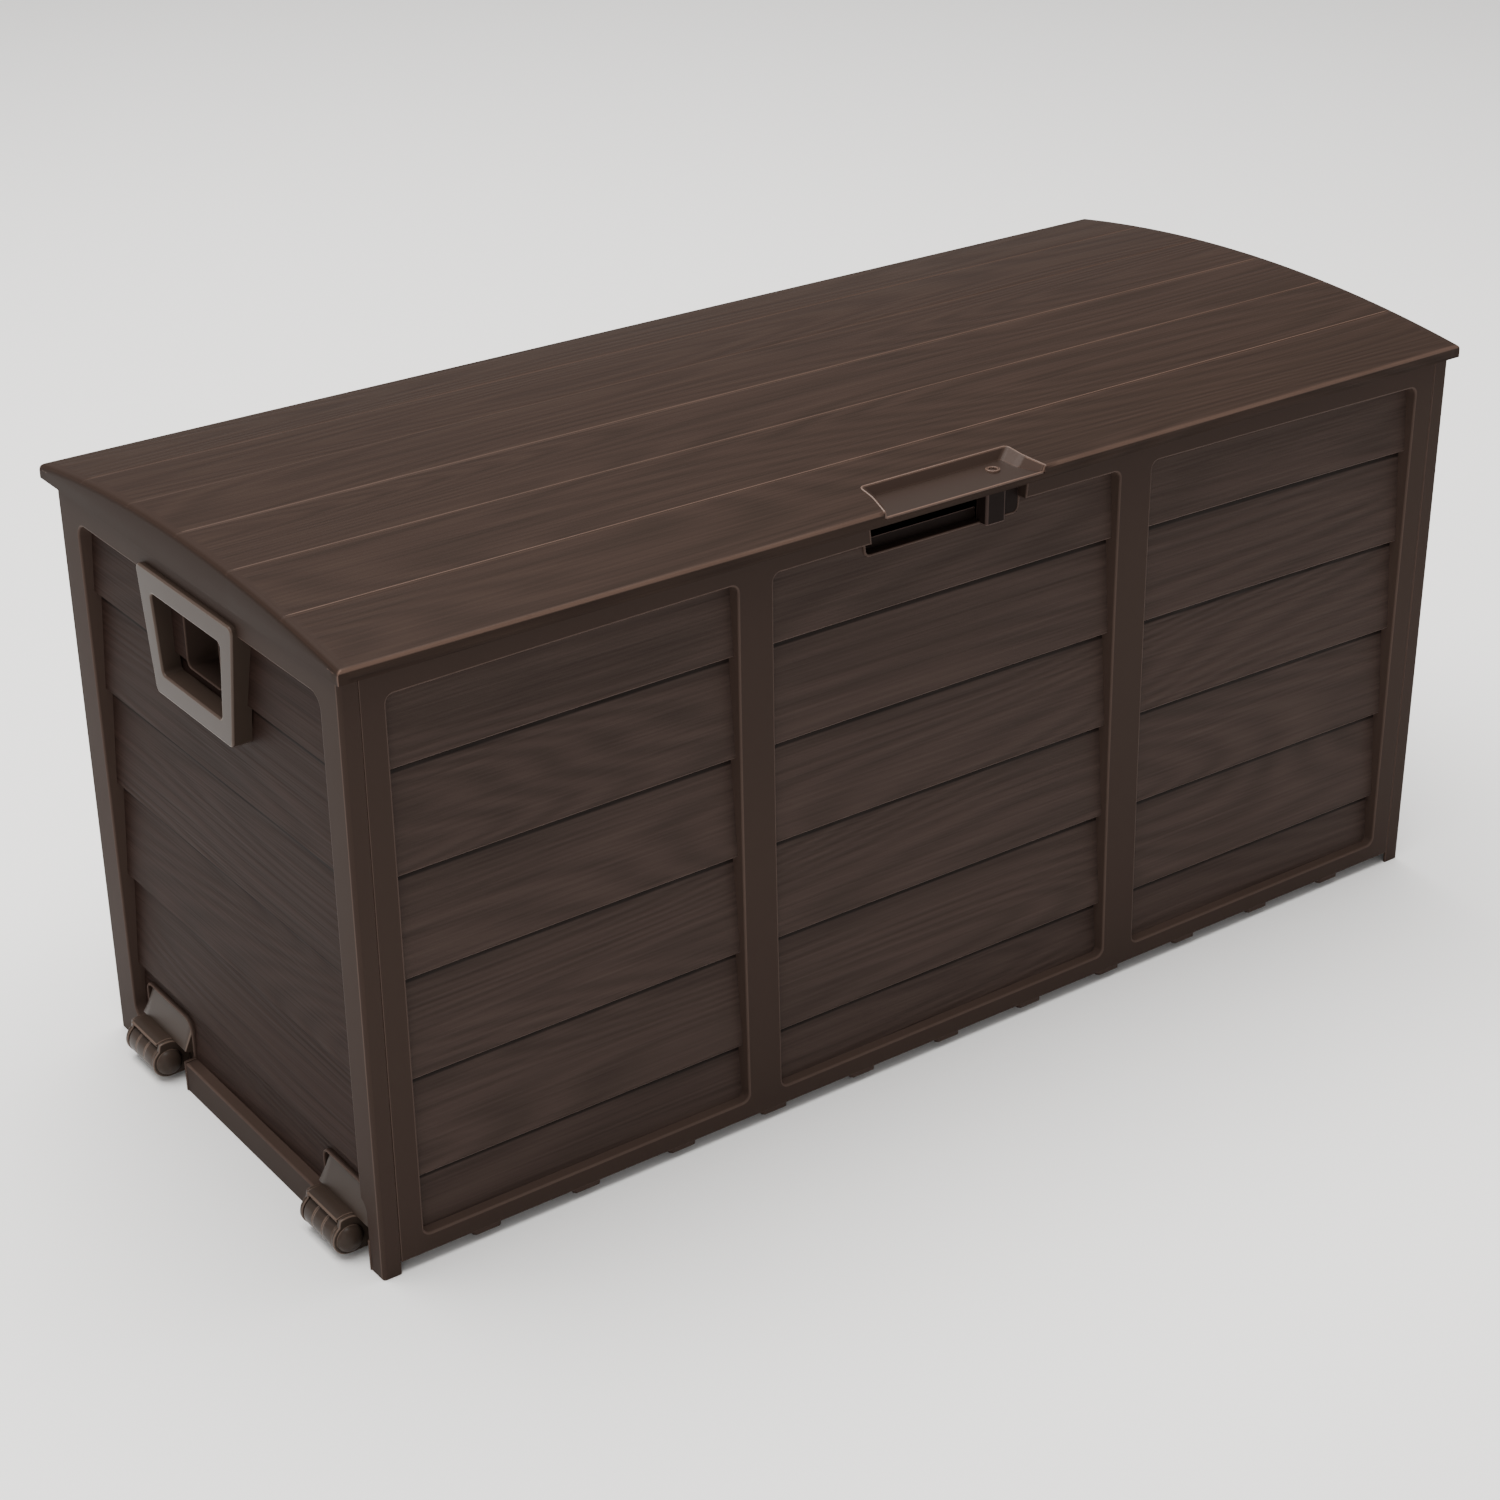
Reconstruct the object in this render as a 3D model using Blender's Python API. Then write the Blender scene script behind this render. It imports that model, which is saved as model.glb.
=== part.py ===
"""Outdoor deck storage box: five moulded wall and floor panels, a hinged lid,
two lifting handles and two small carrying rollers.

Run with: blender --background --python part.py
Units are metres, +Z is up.  +X runs along the box, the rollers are at its -X end,
and the front, where the lid is lifted, faces -Y.  The origin lies on the ground under the middle of the whole box, rollers
and handles included; the dimensions below are counted from the lid's own middle.
"""

import math

import bmesh
import bpy

# ---- driving dimensions -------------------------------------------------------

SHIFT_X = 0.00665                # from the middle of the whole box to the lid's middle
GAP = 0.0004                    # clearance between neighbouring mouldings
WALL = 0.003                    # moulded wall thickness

END_X = 0.5563                  # outer faces of the end panels
FRONT_Y = -0.2359               # outer face of the front panel
BACK_Y = 0.2224                 # outer face of the back panel
BODY_TOP = 0.5142               # top edge of all four walls
PANEL_BOTTOM = 0.0109           # lower edge of the front and back panels
RETURN_TIP = 0.5404             # where an end panel's wrap-round return stops
RETURN_BEND = 0.0030            # bend radius of the box's upright corners

# lapped boards moulded into the wall panels
FIELD_BOTTOM = 0.0270
FIELD_TOP = 0.4830
FIRST_LAP = 0.4215              # height of the uppermost lap line
LAP_PITCH = 0.0863
LAP_COUNT = 5
LAP_STEP = 0.0012               # height over which one board steps back to the next
DRAFT = 0.0015                  # slope of the walls around a sunken field
FRONT_LAP_OUT = 0.0060          # how deep a board's lower edge lies below the frame
FRONT_LAP_IN = 0.0120           # how deep its upper edge lies
END_LAP_OUT = 0.0075
END_LAP_IN = 0.0125
BAYS = ((-0.5190, -0.2115), (-0.1780, 0.1760), (0.2115, 0.5190))
END_FIELD = (-0.2070, 0.1890)
BOW = 0.0105                    # the long panels flex inwards at their free top edge

# finger opening and lock shelf in the front panel
GRIP_X = -0.0045
GRIP_BOTTOM = 0.4700
GRIP_OUTLINE = ((0.0730, 0.0000), (0.0765, 0.0012), (0.0785, 0.0045), (0.0830, 0.0140),
                (0.0860, 0.0600))
SHELF_DEPTH = 0.0176
SHELF_HALF = GRIP_OUTLINE[1][0] + 0.0025
LOCK_X = 0.0440
LOCK_Y = -0.2190
LOCK_HOLE = 0.0035
LOCK_POST_HALF = 0.0100
LOCK_POST_TOP = 0.5045

# lid
LID_X = 0.5600
LID_Y = 0.2444
LID_RIM_TOP = 0.5168
LID_RIM_BOTTOM = 0.5053
LID_RISE = 0.0197
LID_BOARDS = 6
LID_BOARD_PITCH = 0.0820
GROOVE_DEPTH = 0.0015
GROOVE_HALF = 0.0020
TRAY_FLOOR = 0.5110
TRAY_FLOOR_OUTLINE = ((0.0640, -0.2075), (0.0640, -0.2220), (0.0785, -0.2443), (0.0790, -0.2600))
TRAY_TOP_OUTLINE = ((0.0735, -0.2045), (0.0750, -0.2220), (0.0805, -0.2443), (0.0810, -0.2600))

# hinges along the back
HINGE_X = (-0.42, -0.14, 0.14, 0.42)
HINGE_Y = 0.2350
HINGE_Z = 0.5085
KNUCKLE_R = 0.0052
KNUCKLE_HALF = 0.0080           # half the width of the lid's middle knuckle
LUG_WIDTH = 0.0100
PIN_R = 0.0024
PIN_HEAD_R = 0.0040
PIN_BORE = 0.0028
SKIRT_NOTCH_HALF = 0.0260

# handles
HANDLE_CENTRE_Y = (FRONT_Y + BACK_Y) / 2
HANDLE_FACE_X = 0.5615
HANDLE_OUTER = (0.0632, 0.3880, 0.0796, 0.4915)     # half width and height, bottom then top
HANDLE_INNER = (0.0493, 0.4075, 0.0575, 0.4725)
FINGER_POCKET_HALF = 0.0290
FINGER_POCKET_Z = (0.4185, 0.4810)
FINGER_POCKET_DEPTH = 0.0245

# carrying rollers
ROLLER_POCKETS = (("front", -0.1340), ("rear", 0.1767))     # far side of each pocket
POCKET_WIDTH = 0.0825
POCKET_TOP = 0.0630
POCKET_CORNER = 0.0120
ROLLER_X = -0.5603
ROLLER_Z = 0.0173
ROLLER_R = 0.0140
EAR_R = 0.0145
EAR_THICK = 0.0040
FAR_EAR = 0.0045                # from the pocket's far side to the far ear
EAR_SPAN = 0.0460               # between the inner faces of the two ears
AXLE_R = 0.0030
AXLE_BORE = 0.0034
HOOD_INNER = 0.0165
HOOD_OUTER = 0.0200
BRACKET_BACK_X = -0.5400

# floor
FLOOR_TOP = PANEL_BOTTOM - GAP
FLOOR_BOTTOM = 0.0065
FLOOR_HALF_X = 0.5520
FLOOR_FRONT = -0.2250
FLOOR_BACK = 0.2120
TAB_COUNT = 11
TAB_PITCH = 0.0925
TAB_HALF = 0.0130
TAB_REACH = 0.0012
RUNNER_X = (-0.36, 0.0, 0.36)
RUNNER_HALF_X = 0.0150
RUNNER_HALF_Y = 0.1900


# ---- helpers ------------------------------------------------------------------

def clear_scene():
    for thing in list(bpy.data.objects):
        bpy.data.objects.remove(thing, do_unlink=True)


def plastic(name, colour, roughness, metallic=0.0):
    """A Principled material of one moulding colour."""
    material = bpy.data.materials.new(name)
    material.use_nodes = True
    shader = material.node_tree.nodes["Principled BSDF"]
    shader.inputs["Base Color"].default_value = (*colour, 1.0)
    shader.inputs["Roughness"].default_value = roughness
    shader.inputs["Metallic"].default_value = metallic
    return material


def add_object(name, mesh_data, material, origin=(0.0, 0.0, 0.0), round_piece=False):
    """Put a bmesh into the scene as a named object whose origin is at `origin`.

    Both are given from the lid's middle; the object is placed from the box's middle.
    """
    bmesh.ops.recalc_face_normals(mesh_data, faces=mesh_data.faces)
    bmesh.ops.translate(mesh_data, verts=mesh_data.verts, vec=[-c for c in origin])
    mesh = bpy.data.meshes.new(name)
    mesh_data.to_mesh(mesh)
    mesh_data.free()
    if round_piece:
        mesh.shade_smooth()
        mesh.set_sharp_from_angle(angle=math.radians(35))
    thing = bpy.data.objects.new(name, mesh)
    thing.location = (origin[0] + SHIFT_X, origin[1], origin[2])
    bpy.context.scene.collection.objects.link(thing)
    if material is not None:
        mesh.materials.append(material)
    return thing


def add_cutter(name, mesh_data):
    cutter = add_object(name, mesh_data, None)
    cutter.hide_render = True
    cutter.display_type = "WIRE"
    return cutter


def combine(target, tool, operation):
    """Add a Boolean modifier to `target`, and hide the tool."""
    tool.hide_render = True
    tool.display_type = "WIRE"
    modifier = target.modifiers.new(tool.name, "BOOLEAN")
    modifier.operation = operation
    modifier.solver = "EXACT"
    modifier.object = tool


def prism(outline, axis, low, high):
    """A closed prism: a 2-D outline in the plane across `axis`, from low to high."""
    spots = {"X": lambda a, b, c: (c, a, b), "Y": lambda a, b, c: (a, c, b), "Z": lambda a, b, c: (a, b, c)}
    place = spots[axis]
    mesh_data = bmesh.new()
    rings = [[mesh_data.verts.new(place(a, b, level)) for a, b in outline] for level in (low, high)]
    count = len(outline)
    mesh_data.faces.new(rings[0])
    mesh_data.faces.new(rings[1])
    for i in range(count):
        j = (i + 1) % count
        mesh_data.faces.new((rings[0][i], rings[0][j], rings[1][j], rings[1][i]))
    return mesh_data


def loft(lower, upper, low, high):
    """A closed solid between two outlines of equal length at heights low and high."""
    mesh_data = bmesh.new()
    bottom = [mesh_data.verts.new((x, y, low)) for x, y in lower]
    top = [mesh_data.verts.new((x, y, high)) for x, y in upper]
    mesh_data.faces.new(bottom)
    mesh_data.faces.new(top)
    for i in range(len(bottom)):
        j = (i + 1) % len(bottom)
        mesh_data.faces.new((bottom[i], bottom[j], top[j], top[i]))
    return mesh_data


def box(low, high):
    outline = ((low[0], low[1]), (high[0], low[1]), (high[0], high[1]), (low[0], high[1]))
    return prism(outline, "Z", low[2], high[2])


def arc(centre, radius, start, end, steps):
    """Points on a circle between two angles in degrees, both ends included."""
    angles = [math.radians(start + (end - start) * k / steps) for k in range(steps + 1)]
    return [(centre[0] + radius * math.cos(a), centre[1] + radius * math.sin(a)) for a in angles]


def turned_along_y(profile, centre, segments):
    """A solid turned about an axis along Y; profile is (radius, y) from one end to the other."""
    mesh_data = bmesh.new()
    rings = []
    for radius, y in profile:
        ring = [mesh_data.verts.new((centre[0] + u, y, centre[1] + w))
                for u, w in arc((0.0, 0.0), radius, 0.0, 360.0 * (segments - 1) / segments, segments - 1)]
        rings.append(ring)
    closed = rings[0] is not None and profile[0] == profile[-1]
    if closed:
        bmesh.ops.delete(mesh_data, geom=rings[-1], context="VERTS")
        rings[-1] = rings[0]
    for first, second in zip(rings, rings[1:]):
        for i in range(segments):
            j = (i + 1) % segments
            mesh_data.faces.new((first[i], first[j], second[j], second[i]))
    if not closed:
        mesh_data.faces.new(rings[0])
        mesh_data.faces.new(rings[-1])
    return mesh_data


def grid_faces(mesh_data, rows):
    """Quads over a rectangular array of vertices."""
    for row, next_row in zip(rows, rows[1:]):
        for i in range(len(row) - 1):
            mesh_data.faces.new((row[i], row[i + 1], next_row[i + 1], next_row[i]))


def border(rows):
    """The vertices around a rectangular array, in order."""
    loop = list(rows[0])
    loop += [row[-1] for row in rows[1:]]
    loop += list(reversed(rows[-1]))[1:]
    loop += [row[0] for row in reversed(rows[1:-1])]
    return loop


def bridge(mesh_data, first, second):
    for i in range(len(first)):
        j = (i + 1) % len(first)
        mesh_data.faces.new((first[i], first[j], second[j], second[i]))


def shell(outer, inner, skirt=None):
    """A closed wall between two point arrays, with an optional skirt height below both."""
    mesh_data = bmesh.new()
    loops = []
    for points in (outer, inner):
        rows = [[mesh_data.verts.new(p) for p in row] for row in points]
        grid_faces(mesh_data, rows)
        loop = border(rows)
        if skirt is not None:
            lowered = [mesh_data.verts.new((v.co.x, v.co.y, skirt)) for v in loop]
            bridge(mesh_data, loop, lowered)
            loop = lowered
        loops.append(loop)
    bridge(mesh_data, loops[0], loops[1])
    return mesh_data


# ---- lapped wall panels ---------------------------------------------------------

def board_depth(height, lap_out, lap_in):
    """Depth of the lapped boards below the frame at a given height."""
    above = (height - FIRST_LAP) / LAP_PITCH
    part = above - math.floor(above)
    return lap_out + (lap_in - lap_out) * part


def wall_rows(bottom, lap_out, lap_in):
    """Rows up a wall panel: outer height, inner height, outer depth in a field, inner depth."""
    rows = [(bottom, bottom, 0.0, WALL), (FIELD_BOTTOM, FIELD_BOTTOM - WALL, 0.0, WALL)]
    start = FIELD_BOTTOM + DRAFT
    depth = board_depth(start, lap_out, lap_in)
    rows.append((start, start - WALL, depth, depth + WALL))
    for k in reversed(range(LAP_COUNT)):
        lap = FIRST_LAP - k * LAP_PITCH
        rows.append((lap - LAP_STEP / 2, lap - LAP_STEP / 2 + WALL, lap_in, lap_in + WALL))
        rows.append((lap + LAP_STEP / 2, lap + LAP_STEP / 2 + WALL, lap_out, lap_out + WALL))
    stop = FIELD_TOP - DRAFT
    depth = board_depth(stop, lap_out, lap_in)
    rows.append((stop, stop + WALL, depth, depth + WALL))
    rows.append((FIELD_TOP, FIELD_TOP + WALL, 0.0, WALL))
    rows.append((BODY_TOP, BODY_TOP, 0.0, WALL))
    return rows


def bay_columns(low, high, splits):
    """Columns across one sunken bay: outer place, inner place, and whether it is in the field."""
    columns = [(low, low - WALL, False), (low + DRAFT, low + DRAFT - WALL, True)]
    for k in range(1, splits):
        place = low + (high - low) * k / splits
        columns.append((place, place, True))
    columns += [(high - DRAFT, high - DRAFT + WALL, True), (high, high + WALL, False)]
    return columns


def long_panel_points(face_y, inwards, bow):
    """Outer and inner point arrays of the front or back panel."""
    edge = RETURN_TIP - GAP
    flange = RETURN_TIP + 0.0076
    behind = WALL + GAP
    plan = [(-flange, -flange, behind, behind + WALL), (-edge - 0.0002, -edge + WALL, behind, behind + WALL),
            (-edge, -edge + WALL + 0.0002, 0.0, WALL)]
    plan = [(a, b, c, d, False) for a, b, c, d in plan]
    for low, high in BAYS:
        plan += [(a, b, 0.0, WALL, field) for a, b, field in bay_columns(low, high, 4)]
    plan += [(edge, edge - WALL - 0.0002, 0.0, WALL, False),
             (edge + 0.0002, edge - WALL, behind, behind + WALL, False),
             (flange, flange, behind, behind + WALL, False)]

    def flex(x, z):
        rise = (z - PANEL_BOTTOM) / (BODY_TOP - PANEL_BOTTOM)
        return bow * (1 - (x / flange) ** 2) * math.sin(math.pi / 2 * rise)

    outer, inner = [], []
    for z_out, z_in, field_out, field_in in wall_rows(PANEL_BOTTOM, FRONT_LAP_OUT, FRONT_LAP_IN):
        outer.append([(x, face_y + inwards * ((field_out if field else depth) + flex(x, z_out)), z_out)
                      for x, _, depth, _, field in plan])
        inner.append([(x, face_y + inwards * ((field_in if field else depth) + flex(x, z_in)), z_in)
                      for _, x, _, depth, field in plan])
    return outer, inner


def end_panel_points(side):
    """Outer and inner point arrays of an end panel; side is -1 for the left, +1 for the right."""
    bend = RETURN_BEND
    slant = bend * (1 - math.sqrt(0.5))
    thin = 0.0008
    x_face = END_X
    front = [((RETURN_TIP, FRONT_Y), (RETURN_TIP, FRONT_Y + WALL)),
             ((x_face - bend, FRONT_Y), (x_face - WALL - thin, FRONT_Y + WALL)),
             ((x_face - slant, FRONT_Y + slant), (x_face - WALL - thin / 4, FRONT_Y + WALL + thin / 4)),
             ((x_face, FRONT_Y + bend), (x_face - WALL, FRONT_Y + WALL + thin))]
    middle = HANDLE_CENTRE_Y
    plan = [(a, b, False) for a, b in front]
    for y_out, y_in, field in bay_columns(*END_FIELD, 1):
        plan.append(((x_face, y_out), (x_face - WALL, y_in), field))
    plan += [((a[0], 2 * middle - a[1]), (b[0], 2 * middle - b[1]), False) for a, b in reversed(front)]
    outer, inner = [], []
    for z_out, z_in, field_out, field_in in wall_rows(0.0, END_LAP_OUT, END_LAP_IN):
        outer.append([(side * (x - (field_out if field else 0.0)), y, z_out) for (x, y), _, field in plan])
        inner.append([(side * (x - (field_in - WALL if field else 0.0)), y, z_in) for _, (x, y), field in plan])
    return outer, inner


# ---- the pieces -----------------------------------------------------------------

def build_front_panel(material):
    panel = add_object("front_panel", shell(*long_panel_points(FRONT_Y, 1, BOW)), material)
    outline = [(GRIP_X + a, GRIP_BOTTOM + b) for a, b in GRIP_OUTLINE]
    outline += [(GRIP_X - a, GRIP_BOTTOM + b) for a, b in reversed(GRIP_OUTLINE)]
    combine(panel, add_cutter("grip_cut", prism(outline, "Y", FRONT_Y - 0.02, FRONT_Y + 0.04)), "DIFFERENCE")
    half = SHELF_HALF + GAP
    seat = box((GRIP_X - half, FRONT_Y - 0.02, GRIP_BOTTOM - WALL - GAP),
               (GRIP_X + half, FRONT_Y + 0.04, GRIP_BOTTOM + 0.0001 + GAP))
    combine(panel, add_cutter("shelf_seat", seat), "DIFFERENCE")
    return panel


def build_lock_shelf(material):
    face = FRONT_Y + BOW * 0.96
    plate = box((GRIP_X - SHELF_HALF, face + 0.0030, GRIP_BOTTOM - WALL),
                (GRIP_X + SHELF_HALF, face + SHELF_DEPTH, GRIP_BOTTOM + 0.0001))
    shelf = add_object("lock_shelf", plate, material)
    post = box((LOCK_X - LOCK_POST_HALF, LOCK_Y - 0.0060, GRIP_BOTTOM - WALL / 2),
               (LOCK_X + LOCK_POST_HALF, LOCK_Y + 0.0080, LOCK_POST_TOP))
    combine(shelf, add_cutter("lock_post", post), "UNION")
    hole = prism(arc((LOCK_X, LOCK_Y), LOCK_HOLE, 0, 345, 23), "Z", GRIP_BOTTOM - 0.02, LOCK_POST_TOP + 0.01)
    combine(shelf, add_cutter("lock_bore", hole), "DIFFERENCE")
    return shelf


def knuckle_outline(reach, half_height):
    """A lug seen along X: a round knuckle on the pin with a web running to `reach` in Y."""
    web = math.degrees(math.asin(half_height / KNUCKLE_R))
    knuckle = arc((HINGE_Y, HINGE_Z), KNUCKLE_R, 180 - web, -180 + web, 14)
    return [(reach, HINGE_Z - half_height), (reach, HINGE_Z + half_height)] + knuckle


def build_back_panel(material):
    panel = add_object("back_panel", shell(*long_panel_points(BACK_Y, -1, 0.0)), material)
    outline = knuckle_outline(BACK_Y - WALL / 2, 0.0040)
    near = KNUCKLE_HALF + GAP
    for index, centre in enumerate(HINGE_X):
        for side in (-1, 1):
            ends = sorted((centre + side * near, centre + side * (near + LUG_WIDTH)))
            lug = add_cutter(f"lug_{index}_{side}", prism(outline, "X", *ends))
            combine(panel, lug, "UNION")
        bore = prism(arc((HINGE_Y, HINGE_Z), PIN_BORE, 0, 337.5, 15), "X",
                     centre - near - LUG_WIDTH - 0.001, centre + near + LUG_WIDTH + 0.001)
        combine(panel, add_cutter(f"body_bore_{index}", bore), "DIFFERENCE")
    return panel


def build_end_panel(name, side, material):
    panel = add_object(name, shell(*end_panel_points(side)), material)
    low_z, high_z = FINGER_POCKET_Z
    half = FINGER_POCKET_HALF
    depth_x = END_X - END_LAP_OUT - FINGER_POCKET_DEPTH + 0.007

    def pocket(margin, x_from, x_to):
        ends = sorted((side * x_from, side * x_to))
        return box((ends[0], HANDLE_CENTRE_Y - half - margin, low_z - margin),
                   (ends[1], HANDLE_CENTRE_Y + half + margin, high_z + margin))

    combine(panel, add_cutter(name + "_cup", pocket(WALL, depth_x - WALL, END_X - 0.0135)), "UNION")
    combine(panel, add_cutter(name + "_pocket", pocket(0.0, depth_x, END_X + 0.01)), "DIFFERENCE")
    if side < 0:
        for place, far in ROLLER_POCKETS:
            outline = pocket_outline(far, 0.0)
            combine(panel, add_cutter(place + "_roller_cut", prism(outline, "X", -0.60, -0.52)), "DIFFERENCE")
    return panel


def pocket_outline(far, margin):
    """The roller pocket seen along X: open at the ground, its upper corners rounded."""
    near = far - POCKET_WIDTH + margin
    far -= margin
    top = POCKET_TOP - margin
    radius = POCKET_CORNER - margin
    outline = [(near, -0.01)]
    outline += arc((near + radius, top - radius), radius, 180, 90, 5)
    outline += arc((far - radius / 2, top - radius / 2), radius / 2, 90, 0, 3)
    return outline + [(far, -0.01)]


def build_roller_bracket(place, far, material):
    """The clip that fills the pocket and carries the axle between two ears."""
    centre = (ROLLER_X, ROLLER_Z)
    far_ear = far - FAR_EAR
    near_ear = far_ear - 2 * EAR_THICK - EAR_SPAN
    low, high = far - POCKET_WIDTH + GAP, far - GAP
    top = POCKET_TOP - GAP
    back = BRACKET_BACK_X
    plate_outline = [(back, 0.002), (back, top - 0.012), (-END_X + WALL, top - WALL),
                     (-END_X + 0.0005, top - WALL), (-END_X + 0.0005, top), (-END_X + WALL, top),
                     (back + WALL, top - 0.010), (back + WALL, 0.002)]
    inner_low, inner_high = low + POCKET_CORNER, high - POCKET_CORNER / 2
    bracket = add_object(place + "_roller_bracket", prism(plate_outline, "Y", inner_low, inner_high), material)
    hood = arc(centre, HOOD_OUTER, 8, 118, 10) + arc(centre, HOOD_INNER, 118, 8, 10)
    combine(bracket, add_cutter(place + "_hood", prism(hood, "Y", near_ear, far_ear)), "UNION")
    for label, start in (("far", far_ear - EAR_THICK), ("near", near_ear)):
        ear = [(back + WALL / 2, 0.0040), (back + WALL / 2, ROLLER_Z + HOOD_OUTER * 0.6)]
        ear += arc(centre, EAR_R, 60, 270, 14)
        combine(bracket, add_cutter(f"{place}_{label}_ear", prism(ear, "Y", start, start + EAR_THICK)), "UNION")
    bore = prism(arc(centre, AXLE_BORE, 0, 345, 23), "Y", near_ear - 0.005, far_ear + 0.005)
    combine(bracket, add_cutter(place + "_axle_bore", bore), "DIFFERENCE")
    return bracket


def build_roller(place, far, material):
    """The roller, its origin on the axle, with a plain bore and chamfered ends."""
    near_face = far - FAR_EAR - EAR_THICK - EAR_SPAN + GAP
    far_face = far - FAR_EAR - EAR_THICK - GAP
    chamfer = 0.0015
    profile = [(AXLE_BORE, near_face), (ROLLER_R - chamfer, near_face), (ROLLER_R, near_face + chamfer),
               (ROLLER_R, far_face - chamfer), (ROLLER_R - chamfer, far_face), (AXLE_BORE, far_face),
               (AXLE_BORE, near_face)]
    mesh_data = turned_along_y(profile, (ROLLER_X, ROLLER_Z), 28)
    middle = (near_face + far_face) / 2
    return add_object(place + "_roller", mesh_data, material, (ROLLER_X, middle, ROLLER_Z), True)


def build_axle(place, far, material):
    """The headed pin on which a roller turns, held by the bracket's ears."""
    far_end = far - FAR_EAR - 0.0005
    near_ear = far - FAR_EAR - 2 * EAR_THICK - EAR_SPAN
    head = near_ear - GAP
    profile = [(AXLE_R, far_end), (AXLE_R, head), (0.0075, head), (0.0085, head - 0.0015),
               (0.0080, head - 0.0050), (0.0060, head - 0.0070)]
    mesh_data = turned_along_y(profile, (ROLLER_X, ROLLER_Z), 20)
    return add_object(place + "_axle", mesh_data, material, round_piece=True)


def build_handle(name, side, material):
    """A rigid grip frame standing in front of the finger pocket."""
    def frame(sizes):
        low_half, low_z, high_half, high_z = sizes
        y = HANDLE_CENTRE_Y
        return [(y - low_half, low_z), (y + low_half, low_z), (y + high_half, high_z), (y - high_half, high_z)]

    ends = sorted((side * HANDLE_FACE_X, side * (END_X - END_LAP_IN)))
    handle = add_object(name, prism(frame(HANDLE_OUTER), "X", *ends), material)
    wide = sorted((side * (HANDLE_FACE_X + 0.01), side * (END_X - 0.03)))
    combine(handle, add_cutter(name + "_opening", prism(frame(HANDLE_INNER), "X", *wide)), "DIFFERENCE")
    surface = []
    for z_low, z_high in ((HANDLE_OUTER[1] - 0.01, FIRST_LAP + LAP_STEP / 2),
                          (FIRST_LAP + LAP_STEP / 2 + 0.0002, HANDLE_OUTER[3] + 0.01)):
        for z, probe in ((z_low, z_low + 0.0005), (z_high, z_high - 0.0015)):
            depth = board_depth(min(probe, FIELD_TOP), END_LAP_OUT, END_LAP_IN)
            surface.append((side * (END_X - depth + GAP), z))
    surface[2] = (side * (END_X - END_LAP_OUT + GAP), FIRST_LAP - LAP_STEP / 2 - GAP)
    surface[1] = (side * (END_X - END_LAP_IN + GAP), FIRST_LAP - LAP_STEP / 2 - GAP - 0.0002)
    surface[3] = (side * (END_X - END_LAP_OUT + GAP), FIELD_TOP - 0.006)
    surface += [(side * (END_X + GAP), FIELD_TOP - 0.004), (side * (END_X + GAP), 0.52)]
    behind = surface + [(side * (END_X - 0.03), 0.52), (side * (END_X - 0.03), HANDLE_OUTER[1] - 0.01)]
    combine(handle, add_cutter(name + "_seat", prism(behind, "Y", -0.12, 0.11)), "DIFFERENCE")
    return handle


def lid_height(y):
    return LID_RIM_TOP + LID_RISE * (1 - (y / LID_Y) ** 2)


def mirrored_outline(points, centre, margin=0.0):
    """A tray outline from its right-hand half; margin grows it sideways and to the back."""
    right = [(centre + x + margin, y + (margin if k == 0 else 0.0)) for k, (x, y) in enumerate(points)]
    left = [(2 * centre - x, y) for x, y in reversed(right)]
    return right + left


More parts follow.
